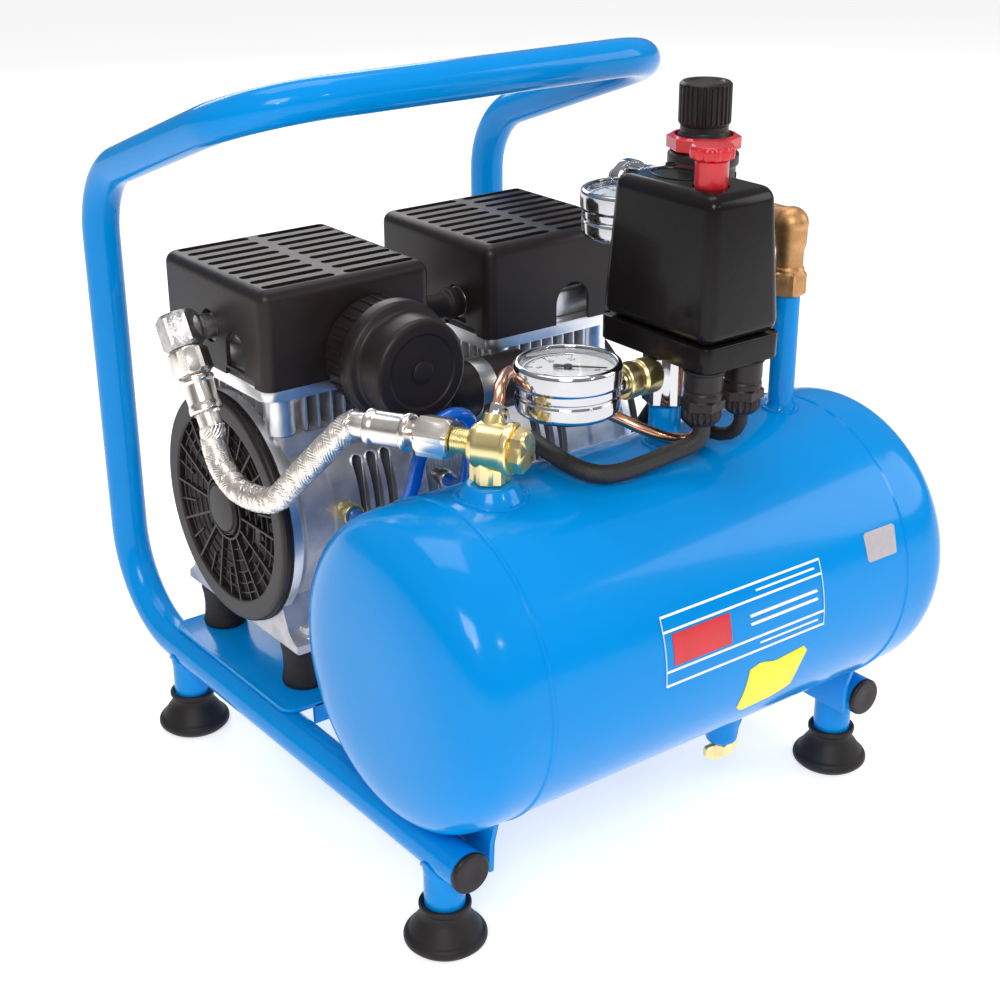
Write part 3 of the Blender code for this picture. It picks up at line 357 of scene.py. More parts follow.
def spun(axis):
    """The turn that brings +Z to an axis."""
    return Vector(axis).to_track_quat("Z", "Y").to_matrix()


def pointing(angle):
    """The level unit vector at an angle from +X."""
    return Vector((math.cos(angle), math.sin(angle), 0))


def arc(x, y, radius, start, sweep, count=8):
    """Points of an arc round (x, y), from start over sweep, in degrees."""
    turns = [math.radians(start + sweep * i / count) for i in range(count + 1)]
    return [(x + radius * math.cos(a), y + radius * math.sin(a)) for a in turns]


def rounded_box(left, right, near, far, radius):
    """A rectangle with round corners, from the limits of its corners' centres."""
    corners = ((right, far), (left, far), (left, near), (right, near))
    return [point for k, (x, y) in enumerate(corners) for point in arc(x, y, radius, 90 * k, 90)]


class Shape:
    """Closed shells gathered into one mesh, in millimetres."""

    def __init__(self):
        self.work = bmesh.new()

    def row(self, points):
        return [self.work.verts.new(Vector(point) * MM) for point in points]

    def wall(self, a, b):
        """Faces from one closed row of corners to the next. A row of one corner is a tip."""
        count = max(len(a), len(b))
        if count == 1:
            return
        for i in range(count):
            j = (i + 1) % count
            if len(a) == 1:
                corners = [a[0], b[j], b[i]]
            elif len(b) == 1:
                corners = [a[i], a[j], b[0]]
            else:
                corners = [a[i], a[j], b[j], b[i]]
            self.work.faces.new(corners)

    def turned(self, profile, base=(0, 0, 0), axis=UP, steps=72, ring=False, soft=0.5, form=None,
               span=None, turn=0.0):
        """A lathe shape. form scales the radius by angle, between the heights of span."""
        profile = rounded(profile, soft, ring) if soft else profile
        axis = Vector(axis).normalized()
        spin = spun(axis)
        rows = []
        for radius, height in profile:
            if radius < 0.001:
                rows.append([self.work.verts.new((Vector(base) + axis * height) * MM)])
                continue
            row = []
            for i in range(steps):
                angle = math.tau * i / steps
                inside = form and (span is None or span[0] <= height <= span[1])
                r = radius * form(angle) if inside else radius
                local = Vector((r * math.cos(angle + turn), r * math.sin(angle + turn), height))
                row.append(self.work.verts.new((Vector(base) + spin @ local) * MM))
            rows.append(row)
        for a, b in zip(rows, rows[1:] + rows[:1] if ring else rows[1:]):
            self.wall(a, b)
        return self

    def nut(self, base, axis, radius, height, sides=6, bore=0.0, turn=0.0, chamfer=1.0):
        """A hexagon or other polygon with rounded-off corners, closed at both ends."""
        rim = radius * math.cos(math.pi / sides) * 0.93
        rows = [(bore, 0), (rim, 0), (radius, chamfer), (radius, height - chamfer), (rim, height),
                (bore, height)]
        profile = rows if bore else [(0, 0), *rows[1:5], (0, height)]
        span = (chamfer / 2, height - chamfer / 2)
        return self.turned(profile, base, axis, sides * 12, bool(bore), 0, across(sides), span, turn)

    def box(self, lo, hi, edge=1.0, segments=2):
        lo, hi = Vector(lo), Vector(hi)
        made = bmesh.ops.create_cube(self.work, size=1)["verts"]
        bmesh.ops.scale(self.work, vec=(hi - lo) * MM, verts=made)
        bmesh.ops.translate(self.work, vec=(lo + hi) / 2 * MM, verts=made)
        if edge:
            lines = list({line for vert in made for line in vert.link_edges})
            bmesh.ops.bevel(
                self.work, geom=lines, offset=edge * MM, segments=segments, profile=0.5,
                affect="EDGES", clamp_overlap=True,
            )
        return self

    def prism(self, outline, lo, hi, axis="Z", edge=0.4):
        """A flat outline pushed along an axis, with its sharp edges rounded."""
        place = {
            "X": lambda a, b, c: (c, a, b), "Y": lambda a, b, c: (a, c, b), "Z": lambda a, b, c: (a, b, c),
        }[axis]
        ends = [self.row([place(a, b, c) for a, b in outline]) for c in (lo, hi)]
        caps = [self.work.faces.new(end) for end in ends]
        self.wall(*ends)
        if edge:
            lines = list({line for cap in caps for line in cap.edges})
            bmesh.ops.bevel(
                self.work, geom=lines, offset=edge * MM, segments=2, profile=0.5, affect="EDGES",
                clamp_overlap=True,
            )
        return self

    def tube(self, points, radius, sides=20, squash=1.0):
        """A closed round bar along points. radius may be a function of the share of its length."""
        points = [Vector(point) for point in points]
        size = radius if callable(radius) else lambda share: radius
        side = (points[1] - points[0]).orthogonal().normalized()
        rows = []
        for i, point in enumerate(points):
            ahead = (points[min(i + 1, len(points) - 1)] - points[max(i - 1, 0)]).normalized()
            side = (side - ahead * side.dot(ahead)).normalized()
            other = ahead.cross(side)
            r = size(i / (len(points) - 1))
            rows.append(self.row([
                point + side * r * math.cos(a) + other * r * squash * math.sin(a)
                for a in (math.tau * k / sides for k in range(sides))
            ]))
        for a, b in zip(rows, rows[1:]):
            self.wall(a, b)
        self.work.faces.new(rows[0])
        self.work.faces.new(rows[-1])
        return self

    def slab(self, top, low):
        """A thin sheet between two grids of corners."""
        last, end = len(top) - 1, len(top[0]) - 1
        for i in range(last):
            for j in range(end):
                self.work.faces.new([top[i][j], top[i][j + 1], top[i + 1][j + 1], top[i + 1][j]])
                self.work.faces.new([low[i][j], low[i + 1][j], low[i + 1][j + 1], low[i][j + 1]])
            for j in (0, end):
                self.work.faces.new([top[i][j], top[i + 1][j], low[i + 1][j], low[i][j]])
        for i in (0, last):
            for j in range(end):
                self.work.faces.new([top[i][j], top[i][j + 1], low[i][j + 1], low[i][j]])
        return self

    def mesh(self, name, sharp=SHARP_DEGREES):
        bmesh.ops.recalc_face_normals(self.work, faces=self.work.faces)
        made = bpy.data.meshes.new(name)
        self.work.to_mesh(made)
        self.work.free()
        made.shade_smooth()
        made.set_sharp_from_angle(angle=math.radians(sharp))
        return made


def bring(shape, name, finish, body="machine", nodes=(), sharp=SHARP_DEGREES):
    """Put a shape into the scene as a piece that rides on a body and stands for CAD nodes."""
    mesh = shape.mesh(name, sharp)
    thing = added(name, mesh)
    mesh.materials.append(MATERIALS[finish])
    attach(thing, body)
    if nodes:
        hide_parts(*nodes)
    return thing


def carve(thing, shape, operation="DIFFERENCE"):
    """Cut a shape out of a piece, or merge it in."""
    tool = added("tool", shape.mesh("tool"))
    step = thing.modifiers.new("cut", "BOOLEAN")
    step.operation = operation
    step.solver = "EXACT"
    step.object = tool
    graph = bpy.context.evaluated_depsgraph_get()
    mesh = bpy.data.meshes.new_from_object(thing.evaluated_get(graph))
    thing.modifiers.clear()
    thing.data = mesh
    mesh.shade_smooth()
    mesh.set_sharp_from_angle(angle=math.radians(SHARP_DEGREES))
    bpy.data.objects.remove(tool, do_unlink=True)


def smooth_route(points, step):
    """A route with straight first and last stretches, and points a step apart along a curve between them."""
    first, *points, last = [Vector(point) for point in points]
    ends = [first, *points, last]
    dense = []
    for a, b, c, d in zip(ends, ends[1:], ends[2:], ends[3:]):
        for i in range(24):
            t = i / 24
            dense.append(
                0.5 * (2 * b + (c - a) * t + (2 * a - 5 * b + 4 * c - d) * t**2
                       + (3 * b - a - 3 * c + d) * t**3)
            )
    dense.append(points[-1])
    lengths = [0.0]
    for a, b in zip(dense, dense[1:]):
        lengths.append(lengths[-1] + (b - a).length)
    count = max(2, round(lengths[-1] / step))
    picked = []
    for i in range(count + 1):
        goal = lengths[-1] * i / count
        at = min(range(len(lengths)), key=lambda k: abs(lengths[k] - goal))
        picked.append(dense[at])
    return [first, *picked, last]


def rounded_path(corners, radii, segments=14):
    """The corners of a bent tube, each one replaced by an arc of its bend radius."""
    corners = [Vector(corner) for corner in corners]
    path = [corners[0]]
    for before, corner, after, radius in zip(corners, corners[1:], corners[2:], radii):
        a, b = (before - corner).normalized(), (after - corner).normalized()
        half = a.angle(b) / 2
        centre = corner + (a + b).normalized() * (radius / math.sin(half))
        start = corner + a * (radius / math.tan(half)) - centre
        end = corner + b * (radius / math.tan(half)) - centre
        sweep = start.angle(end)
        for i in range(segments + 1):
            t = i / segments
            path.append(
                centre + (start * math.sin((1 - t) * sweep) + end * math.sin(t * sweep)) / math.sin(sweep)
            )
    return [*path, corners[-1]]


# --- Free lines -------------------------------------------------------------------------------------


def line(name, points, radius, finish, slot, nodes):
    """A round flexible line, as a curve."""
    curve = bpy.data.curves.new(name, "CURVE")
    curve.dimensions = "3D"
    curve.bevel_depth = radius * MM
    curve.bevel_resolution = 5
    curve.use_fill_caps = True
    spline = curve.splines.new("POLY")
    spline.points.add(len(points) - 1)
    for knot, point in zip(spline.points, points):
        knot.co = (*(Vector(point) * MM), 1)
    spline.use_smooth = True
    thing = added(name, curve)
    curve.materials.append(MATERIALS[finish])
    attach(thing, "machine")
    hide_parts(*nodes)
    return thing


def coil_points():
    """The lead's stored turns, from the outer turn on the floor to the one on top."""
    made = []
    count = round(COIL_TURNS * 24)
    for i in range(count + 1):
        turn = COIL_TURNS * i / count
        for (a, ra, za), (b, rb, zb) in zip(COIL_SLOTS, COIL_SLOTS[1:]):
            if a <= turn <= b:
                t = (turn - a) / (b - a)
                t = t * t * (3 - 2 * t)
                angle = math.tau * turn
                r = ra + (rb - ra) * t
                z = za + (zb - za) * t
                made.append(COIL + Vector((r * math.cos(angle), r * math.sin(angle), z)))
                break
    return made


def free_lines():
    hose = smooth_route(HOSE_ROUTE, 2.0)
    strands, pitch, rise, width, thick = 18, 30.0, 0.2, 0.92, 0.36
    core, crown = HOSE_R - 0.75, HOSE_R - 0.5
    shape = Shape().tube(hose, core, 28)
    side = (hose[1] - hose[0]).orthogonal().normalized()
    frames, gone = [], 0.0
    for i, point in enumerate(hose):
        ahead = (hose[min(i + 1, len(hose) - 1)] - hose[max(i - 1, 0)]).normalized()
        side = (side - ahead * side.dot(ahead)).normalized()
        frames.append((gone, point, side, ahead.cross(side)))
        if i + 1 < len(hose):
            gone += (hose[i + 1] - point).length
    for way in (1, -1):
        for k in range(strands):
            run = []
            for gone, point, side, other in frames:
                angle = way * math.tau * gone / pitch + math.tau * k / strands
                r = crown + way * rise * math.cos(math.tau * strands * gone / pitch)
                run.append(point + side * r * math.cos(angle) + other * r * math.sin(angle))
            ribbon(shape, run, hose, width, thick)
    braid = bring(shape, "braided_hose", "braid", nodes=["outlet_hose"], sharp=60)
    sleeve = smooth_route(SLEEVE_ROUTE, 4.0)
    cable = line("motor_cable_sleeve", sleeve, SLEEVE_R, "sleeve", "black_rubber", ["motor_cable"])
    vent = smooth_route(VENT_ROUTE, 3.5)
    small = line("crankcase_vent_tube", vent, VENT_R, "hose_blue", "blue_hose", ["vent_tube"])
    coil = coil_points()
    entry = smooth_route([*LEAD_ROUTE, coil[0], coil[1]], 5.0)
    tail = [coil[-1] + Vector((0, -20, 0.3)), PLUG - Vector((0, 1, 0))]
    lead = [*entry, *coil[2:], *tail]
    mains = line("mains_lead_line", lead, LEAD_R, "rubber", "black_rubber", ["mains_lead", "mains_coil"])
    plug()
    copper = smooth_route(COPPER_ROUTE, 3.0)
    line("copper_relief_tube", copper, COPPER_R, "copper", "copper", ["copper_tube"])


def ribbon(shape, run, centres, width, thick):
    """A flat strand along run, lying on the surface round centres."""
    rows = []
    for i, (point, centre) in enumerate(zip(run, centres)):
        ahead = (run[min(i + 1, len(run) - 1)] - run[max(i - 1, 0)]).normalized()
        out = (point - centre).normalized()
        wide = ahead.cross(out).normalized()
        corners = ((-1, -0.5), (-0.6, 0.6), (0, 1), (0.6, 0.6), (1, -0.5))
        rows.append(shape.row([point + wide * (a * width) + out * (b * thick) for a, b in corners]))
    for a, b in zip(rows, rows[1:]):
        shape.wall(a, b)
    shape.work.faces.new(rows[0])
    shape.work.faces.new(rows[-1])


def plug():
    """The mains plug: a tapered strain relief, a round moulded body and two pins."""
    profile = [(0, 0), (4.6, 0)]
    for i in range(5):
        low, r = 1 + 3 * i, 4.6 + 0.4 * i
        profile += [(r, low), (r, low + 1.8), (r - 0.9, low + 1.9), (r - 0.9, low + 2.9)]
    profile += [(7, 16.5), (17, 22), (18.5, 26), (18.5, 44), (17.5, 46), (0, 46)]
    shape = Shape().turned(profile, PLUG, (0, -1, 0), 64, soft=0.8)
    for side in (-1, 1):
        start = PLUG + Vector((side * 9.5, -45, 0))
        shape.turned([(0, 0), (2.4, 0), (2.4, 18), (1.6, 19.4), (0, 19.9)], start, (0, -1, 0), 24)
    return bring(shape, "mains_plug_body", "plastic", nodes=["mains_plug"])


# --- Frame, feet, tank ------------------------------------------------------------------------------


def foot_places():
    return [(x, y) for y in FOOT_Y for x in (-RAIL_X, RAIL_X)]


def frame_tube():
    side = [
        (RAIL_X, RAIL_FRONT_Y, RAIL_Z), (RAIL_X, UPRIGHT_Y, RAIL_Z), (RAIL_X, UPRIGHT_Y, SHOULDER_Z),
        (RAIL_X, *CROSSBAR),
    ]
    corners = side + [(-x, y, z) for x, y, z in reversed(side)]
    shape = Shape().tube(rounded_path(corners, (57, 50, 47, 47, 50, 57)), TUBE_R, 44)
    for x, y in foot_places():
        top = RAIL_Z - TUBE_R
        leg = [(0, LEG_BOTTOM), (10.45, LEG_BOTTOM), (10.45, top), (10.9, top + 3), (10.45, RAIL_Z - 1),
               (0, RAIL_Z - 1)]
        shape.turned(leg, (x, y, 0), UP, 48)
        bead = [
            Vector((x + 11 * math.cos(a), y + 11 * math.sin(a),
                    RAIL_Z - math.sqrt(max(0.0, (TUBE_R + 0.2) ** 2 - (10.6 * math.cos(a)) ** 2))))
            for a in (math.tau * i / 60 for i in range(61))
        ]
        shape.tube(bead, lambda share: 0.9 + 0.25 * math.sin(share * 150), 8)
    bring(shape, "frame_tube", "blue", nodes=["handle_frame"])


def feet():
    names = ("front_left", "front_right", "back_left", "back_right")
    profile = [
        (0, 3), (4, 3), (14, 0), (17.5, 0), (19.3, 1.6), (21, 3.4), (21, 5.6), (20, 7.2), (18.4, 8.2),
        (17.2, 10.2), (15, 13.4), (12.9, 16.4), (12.0, 19), (12.1, 20.6), (13.2, 21.6), (13.2, 23.6),
        (12.6, 24.4), (10.9, 24.4), (10.9, 9), (0, 8.2),
    ]
    for (x, y), where in zip(foot_places(), names):
        shape = Shape().turned(profile, (x, y, 0), UP, 72, soft=0.9)
        bring(shape, f"rubber_foot_{where}", "rubber", nodes=[f"foot_{where}"])


def rail_caps():
    for side, x in (("left", -RAIL_X), ("right", RAIL_X)):
        profile = [(0, 2.4), (5, 2.9), (9.6, 3), (10.65, 2), (10.65, 0), (7.6, 0), (7.6, -7), (0, -7)]
        shape = Shape().turned(profile, (x, RAIL_FRONT_Y - 0.3, RAIL_Z), (0, -1, 0), 60)
        bring(shape, f"end_cap_{side}", "plastic", nodes=[f"rail_cap_{side}"])


def dish(radius, depth, count=26):
    """Points of a dished end, from the rim to the pole."""
    made = []
    for i in range(count + 1):
        a = math.pi / 2 * i / count
        made.append((radius * max(0.0, math.cos(a)) ** 0.571, depth * math.sin(a) ** 0.571))
    made[-1] = (0, depth)
    return made


def on_tank(x, degrees, out):
    """A point on the tank, degrees round from its top towards the front."""
    a = math.radians(degrees)
    return Vector((x, TANK_Y - (TANK_R + out) * math.sin(a), TANK_Z + (TANK_R + out) * math.cos(a)))


def tank():
    end = dish(TANK_R, DISH)
    profile = [(r, TANK_HALF + h) for r, h in reversed(end)]
    for side in (1, -1):
        seam = [(TANK_R, side * 119.5), (TANK_R + 0.75, side * 118.6), (TANK_R + 0.8, side * 117.4),
                (TANK_R, side * 116.4)]
        profile += seam if side > 0 else reversed(seam)
    profile += [(r, -TANK_HALF - h) for r, h in end]
    shape = Shape().turned(profile, (0, TANK_Y, TANK_Z), (1, 0, 0), 160, soft=0)
    for side in (-1, 1):
        wide, top = 40, TANK_Z - 62
        outline = [(TANK_Y - wide, 45.8), (TANK_Y + wide, 45.8), (TANK_Y + wide, 62), (TANK_Y + 46, top),
                   (TANK_Y - 46, top), (TANK_Y - wide, 62)]
        shape.prism(outline, side * 123.5 - 1.5, side * 123.5 + 1.5, "X", 0.5)
    low = TANK_TOP - 3
    shape.turned([(0, low), (19.5, low - 1), (16.5, low + 2.4), (14.6, low + 5), (12.7, 228.3),
                  (11.5, 229), (0, 229)], (VALVE_X, TANK_Y, 0), UP, 64)
    shape.turned([(0, low), (11.6, low + 1), (9.4, low + 3.4), (8.2, low + 6), (8, STUB_TOP), (0, STUB_TOP)],
                 (STUB_X, TANK_Y, 0), UP, 48)
    shape.turned([(0, low), (10.2, low + 1), (8, low + 3.4), (6.9, low + 6), (6.8, RISER_TOP),
                  (0, RISER_TOP)], (RISER_X, TANK_Y, 0), UP, 48)
    shape.turned([(0, DRAIN_Z), (7.6, DRAIN_Z), (8.5, DRAIN_Z + 1), (9.3, 58), (11.4, 66), (13, 72),
                  (0, 72)], (*DRAIN, 0), UP, 48)
    for x, radius in ((VALVE_X, 17), (STUB_X, 10), (RISER_X, 8.6)):
        ring = []
        for i in range(61):
            a = math.tau * i / 60
            y = radius * math.sin(a)
            ring.append(Vector((x + radius * math.cos(a), TANK_Y + y, TANK_Z + math.sqrt(TANK_R**2 - y**2))))
        shape.tube(ring, lambda share: 1.3 + 0.3 * math.sin(share * 170), 8)
    bring(shape, "air_tank", "blue", nodes=["tank_shell"])


def patch(outline, out=0.12, thick=0.22, step=3.0):
    """A thin sticker on the tank, from an outline of (x, degrees) points, as a fan of strips."""
    shape = Shape()
    xs = [x for x, _ in outline]
    count = max(2, round((max(xs) - min(xs)) / step))
    rows = []
    for i in range(count + 1):
        x = min(xs) + (max(xs) - min(xs)) * i / count
        x = min(max(x, min(xs) + 0.01), max(xs) - 0.01)
        hits = []
        for (xa, da), (xb, db) in zip(outline, outline[1:] + outline[:1]):
            if (xa - x) * (xb - x) <= 0 and xa != xb:
                hits.append(da + (db - da) * (x - xa) / (xb - xa))
        rows.append((x, min(hits), max(hits)))
    top, low = [], []
    for x, a, b in rows:
        turns = [a + (b - a) * k / 10 for k in range(11)]
        top.append(shape.row([on_tank(x, d, out + thick) for d in turns]))
        low.append(shape.row([on_tank(x, d, out) for d in turns]))
    return shape.slab(top, low)


def stickers():
    """Plain stickers with no lettering: a ruled frame, a red block, a yellow patch and a grey one."""
    shape = Shape()
    left, right, top, low = -51.0, 54.5, 66.8, 91.2
    for degrees in (top, 72.0, 86.0, low):
        shape.tube([on_tank(left + (right - left) * i / 12, degrees, 0.15) for i in range(13)], 0.65, 8, 0.4)
    for x in (left, right):
        shape.tube([on_tank(x, top + (low - top) * i / 16, 0.15) for i in range(17)], 0.65, 8, 0.4)
    for degrees, start, end in ((69.4, 10, 50), (77.5, 4, 50), (80.5, 4, 50), (88.6, 10, 50)):
        thick = 0.9 if 70 < degrees < 86 else 0.6
        shape.tube([on_tank(start + (end - start) * i / 8, degrees, 0.12) for i in range(9)], thick, 8, 0.35)
    bring(shape, "ruled_sticker", "white_print")
    block = [(-46, 73.4), (-9, 73.4), (-9, 84.6), (-46, 84.6)]
    bring(patch(block), "red_block_sticker", "red")
    yellow = [(5, 98.5), (12, 97), (22, 99), (42, 97.5), (45, 100), (44, 115), (38, 118), (30, 120),
              (10, 121), (5, 117)]
    bring(patch(yellow), "yellow_sticker", "yellow_print")
    grey = [(88, 65), (89.5, 64), (109.5, 64), (111, 65), (110.5, 74), (109, 75), (89.5, 75), (88, 74)]
    bring(patch(grey, step=1.5), "grey_sticker", "grey_print")


def base_plate():
    outline = rounded_box(-133, 133, 8, PLATE_BACK - 8, 8)
    shape = Shape().prism(outline, PLATE_LOW, PLATE_TOP, "Z", 0.7)
    for y in (0, PLATE_BACK - 2.5):
        shape.box((-124, y, PLATE_LOW - 11), (124, y + 2.5, PLATE_TOP - 0.6), 0.8)
    for x in (-RAIL_X, RAIL_X):
        run = [Vector((x - math.copysign(11.4, x) * 0.55, 12 + 4 * i, PLATE_LOW - 0.6)) for i in range(28)]
        shape.tube(run, lambda share: 1.3 + 0.3 * math.sin(share * 130), 8)
    bring(shape, "pressed_plate", "blue", nodes=["base_plate"])
    places = [(MOTOR.x + x, MOTOR.y + y) for y in (-45.5, 45.5) for x in (-105, 105)]
    for i, (x, y) in enumerate(places):
        profile = [(0, 65.6), (12, 65.6), (12.5, 67.4), (11.6, 72), (11.1, 78.6), (11.6, 85.2), (12.5, 90),
                   (12, 91.7), (0, 91.7)]
        mount = Shape().turned(profile, (x, y, 0), UP, 56)
        bring(mount, f"rubber_mount_{i + 1}", "rubber", nodes=[f"motor_mount_{i + 1}"])


# --- Motor pump -------------------------------------------------------------------------------------


def crankcase(side):
    name = SIDES[side]
    axis = (side, 0, 0)
    i, o = CASE_IN, CASE_OUT
    profile = [
        (0, o - 1), (57.5, o - 1), (57.5, o), (64.5, o), (64.5, o - 7.4), (61.6, o - 10.5), (61, o - 12),
        (61, i + 62), (60, i + 60), (60, i + 8), (61, i + 6), (61, i), (0, i),
    ]
    shape = Shape().turned(profile, MOTOR, axis, 128, soft=1.2)
    body = bring(shape, f"crankcase_casting_{name}", "cast", nodes=[f"crankcase_{name}"])
    lo, hi = sorted((MOTOR.x + side * (i + 0.6), MOTOR.x + side * (o - 6)))
    more = Shape().box((lo, MOTOR.y - 46, 190), (hi, MOTOR.y + 46, 217), 5, 4)
    carve(body, more, "UNION")
    reach = MOTOR.x + side * 105
    outline = [(-62, 92), (62, 92), (62, 97), (53, 102), (44, 126), (-44, 126), (-53, 102), (-62, 97)]
    foot = Shape().prism([(MOTOR.y + a, b) for a, b in outline], reach - 13, reach + 13, "X", 1.4)
    carve(body, foot, "UNION")
    ends = sorted((MOTOR.x + side * (i - 3), MOTOR.x + side * (i + 86.6)))
    carve(body, Shape().box((ends[0], MOTOR.y - 70, DECK_TOP - 0.3), (ends[1], MOTOR.y + 70, 240), 0))
    room = Shape().turned([(0, o + 6), (57.4, o + 6), (57.4, i + 66), (0, i + 66)], MOTOR, axis, 96, soft=0)
    carve(body, room)
    inner = Shape().turned([(0, i + 60), (48, i + 60), (48, i + 4), (0, i + 4)], MOTOR, axis, 64, soft=0)
    carve(body, inner)
    slots, lips = Shape(), Shape()
    vent_top, vent_low, vent_half = 191, 145, 3
    for k in range(3):
        x = MOTOR.x + side * (i + 23 + 9 * k)
        for face in (-1, 1):
            outline = arc(x, vent_top, vent_half, 0, 180) + arc(x, vent_low, vent_half, 180, 180)
            slots.prism(outline, MOTOR.y + face * 40, MOTOR.y + face * 70, "Y", 0)
            rim = []
            for a, b in [*outline, outline[0]]:
                y = MOTOR.y + face * (math.sqrt(60.2**2 - (b - MOTOR.z) ** 2) - 0.1)
                rim.append(Vector((x + (a - x) * 1.18, y, b + (0.5 if b > 168 else -0.5))))
            lips.tube(rim, 0.75, 8)
    carve(body, slots)
    bring(lips, f"vent_lips_{name}", "bright_cast")
    trim = Shape()
    trim.turned([(65.1, o + 0.05), (65.1, o - 6.9), (64.3, o - 6.9), (64.3, o + 0.05)], MOTOR, axis, 128,
                ring=True, soft=0.3)
    for dy in (-53, 53):
        place = Vector((reach, MOTOR.y + dy, 0))
        trim.turned([(0, 97.6), (7.6, 97.6), (7.6, 99), (0, 99)], place, UP, 40)
        trim.nut(place + UP * 99, UP, 5.6, 4.6)
    for k in range(4):
        a = math.radians(45 + 90 * k)
        spot = Vector((MOTOR.x + side * (i + 1), MOTOR.y + 54.5 * math.cos(a), MOTOR.z + 54.5 * math.sin(a)))
        trim.turned([(0, -2.4), (4.2, -2.4), (4.2, 0), (0, 0)], spot, axis, 24)
    bring(trim, f"case_trim_{name}", "bright_cast")
    if side < 0:
        boss = Shape().turned([(0, 0), (6, 0), (6, 4), (5, 5), (5, 9), (6.4, 11), (0, 11)], (-92, 2.1, 168),
                              (0, 1, 0), 40)
        bring(boss, "vent_boss", "brass")


def motor():
    rows = [(30, -27.7), (56, -27.7), (57.6, -26.5)]
    for i in range(25):
        x = -25 + 50 * i / 24
        rows += [(57.9, x - 0.7), (57.9, x + 0.3), (57.2, x + 0.4), (57.2, x + 0.9)]
    rows += [(57.6, 26.5), (56, 27.7), (30, 27.7)]
    shape = Shape().turned(rows, MOTOR, (1, 0, 0), 96, ring=True, soft=0)
    for y, z, radius in ((10, 196, 6.5), (4, 172, 5)):
        neck = radius - 1.2
        profile = [(0, 0), (radius - 0.6, 0), (radius, 0.8), (radius, 6), (neck, 7), (neck, 22), (0, 22)]
        shape.turned(profile, (-29, y, z), (0, 1, 0), 36)
    bring(shape, "stator_stack", "steel", nodes=["stator"])
    can = [(0, 62), (12.6, 62), (13.4, 61), (13.5, 58.6), (15.5, 57.4), (15.5, 4.5), (14, 2.4), (14, 0),
           (0, 0)]
    body = Shape().turned(can, (-36, 5, 222), (1, 0, 0), 64)
    bring(body, "start_capacitor", "plastic", nodes=["capacitor"])
    clip = Shape().turned([(16.3, -5), (16.3, 5), (15.4, 5), (15.4, -5)], (-10, 5, 222), (1, 0, 0), 64,
                          ring=True, soft=0.2)
    clip.box((-15, 3, 196), (-5, 5, 209), 0.5).box((-15, 3, 194.6), (-5, 23, 197), 0.5)
    clip.nut((-10, 11, 197), UP, 4.2, 3.6)
    bring(clip, "capacitor_clip", "steel")


def fan(side):
    name = SIDES[side]
    base = MOTOR + Vector((side * 99, 0, 0))
    shape = Shape().turned(
        [(8.6, 0), (14.5, 0), (16, 1.5), (16, 12), (14, 14), (8.6, 14)], base, (side, 0, 0), 64, ring=True,
    )
    blades, root, reach = 7, 15, 38.5
    root_twist, untwist, root_half, widening, dip = 40, 14, 8.2, 2.2, 1.6
    spin = spun((side, 0, 0))
    lift = spin @ Vector((0, 0, 0.7))
    for k in range(blades):
        start = math.tau * k / blades
        rows = []
        for share in (i / 8 for i in range(9)):
            r = root + reach * share
            twist = math.radians(root_twist - untwist * share)
            row = []
            for s in (-1 + j / 3 for j in range(7)):
                along = s * (root_half + widening * share)
                angle = start + along * math.cos(twist) / r
                high = 7 + along * math.sin(twist) - dip * (1 - s * s)
                row.append(spin @ Vector((r * math.cos(angle), r * math.sin(angle), high)))
            rows.append(row)
        shape.slab(*[[shape.row([base + point + lift * way for point in row]) for row in rows]
                     for way in (1, -1)])
    bring(shape, f"fan_wheel_{name}", "plastic", "shaft", [f"fan_{name}"])


def fan_grille(side):
    """The moulded guard: a stepped rim, staggered fine ribs between rings, and a raised hub."""
    name = SIDES[side]
    axis = Vector((side, 0, 0))
    base = MOTOR + axis * (CASE_OUT + 0.3)
    spin = spun(axis)
    rim = [(65.4, 0), (65.4, 3), (64.4, 4.2), (62.5, 4.7), (54.4, 4.7), (53.2, 4), (53, 0)]
    shape = Shape().turned(rim, base, axis, 128, ring=True, soft=0.4)
    shape.turned([(18.6, 4.8), (18.6, 1.2), (17.2, 1.2), (17.2, 4.8)], base, axis, 64, ring=True, soft=0.2)
    sectors, hub, tip, low = 14, 17.8, 53.6, 1.2

    def bar(a, b, angle, half, high):
        out, end = pointing(angle) * a, pointing(angle) * b
        wide = Vector((-math.sin(angle), math.cos(angle), 0)) * half
        corners = [
            shape.work.verts.new((base + spin @ (corner + UP * z)) * MM)
            for z in (low, high) for corner in (out - wide, end - wide, end + wide, out + wide)
        ]
        for face in ((0, 1, 2, 3), (4, 5, 6, 7), (0, 1, 5, 4), (1, 2, 6, 5), (2, 3, 7, 6), (3, 0, 4, 7)):
            shape.work.faces.new([corners[k] for k in face])

    for k in range(sectors):
        angle = math.tau * k / sectors
        bar(hub, tip, angle, 0.65, 4.4)
        bar(37, tip, angle + math.pi / sectors, 0.5, 3.6)
        for radius in ((24, 30.5, 37, 43.5, 49) if k % 2 else (27, 33.5, 40, 46.5)):
            last = angle + math.tau / sectors
            run = []
            for i in range(7):
                a = angle + (last - angle) * i / 6
                run.append(base + spin @ Vector((radius * math.cos(a), radius * math.sin(a), 3.0)))
            shape.tube(run, 0.62, 6)
    shape.turned([(0, 1), (15.6, 1), (15.6, 5.4), (14.8, 6.2), (14.2, 5.2), (13.6, 5.2), (13, 6.6), (0, 6.9)],
                 base, axis, 64, soft=0.3)
    bring(shape, f"fan_guard_{name}", "plastic", nodes=[f"fan_grille_{name}"])
    gap = Shape().turned([(66, -1), (66, 0), (65.2, 0), (65.2, -1)], base, axis, 128, ring=True, soft=0.1)
    bring(gap, f"guard_gasket_{name}", "rubber")


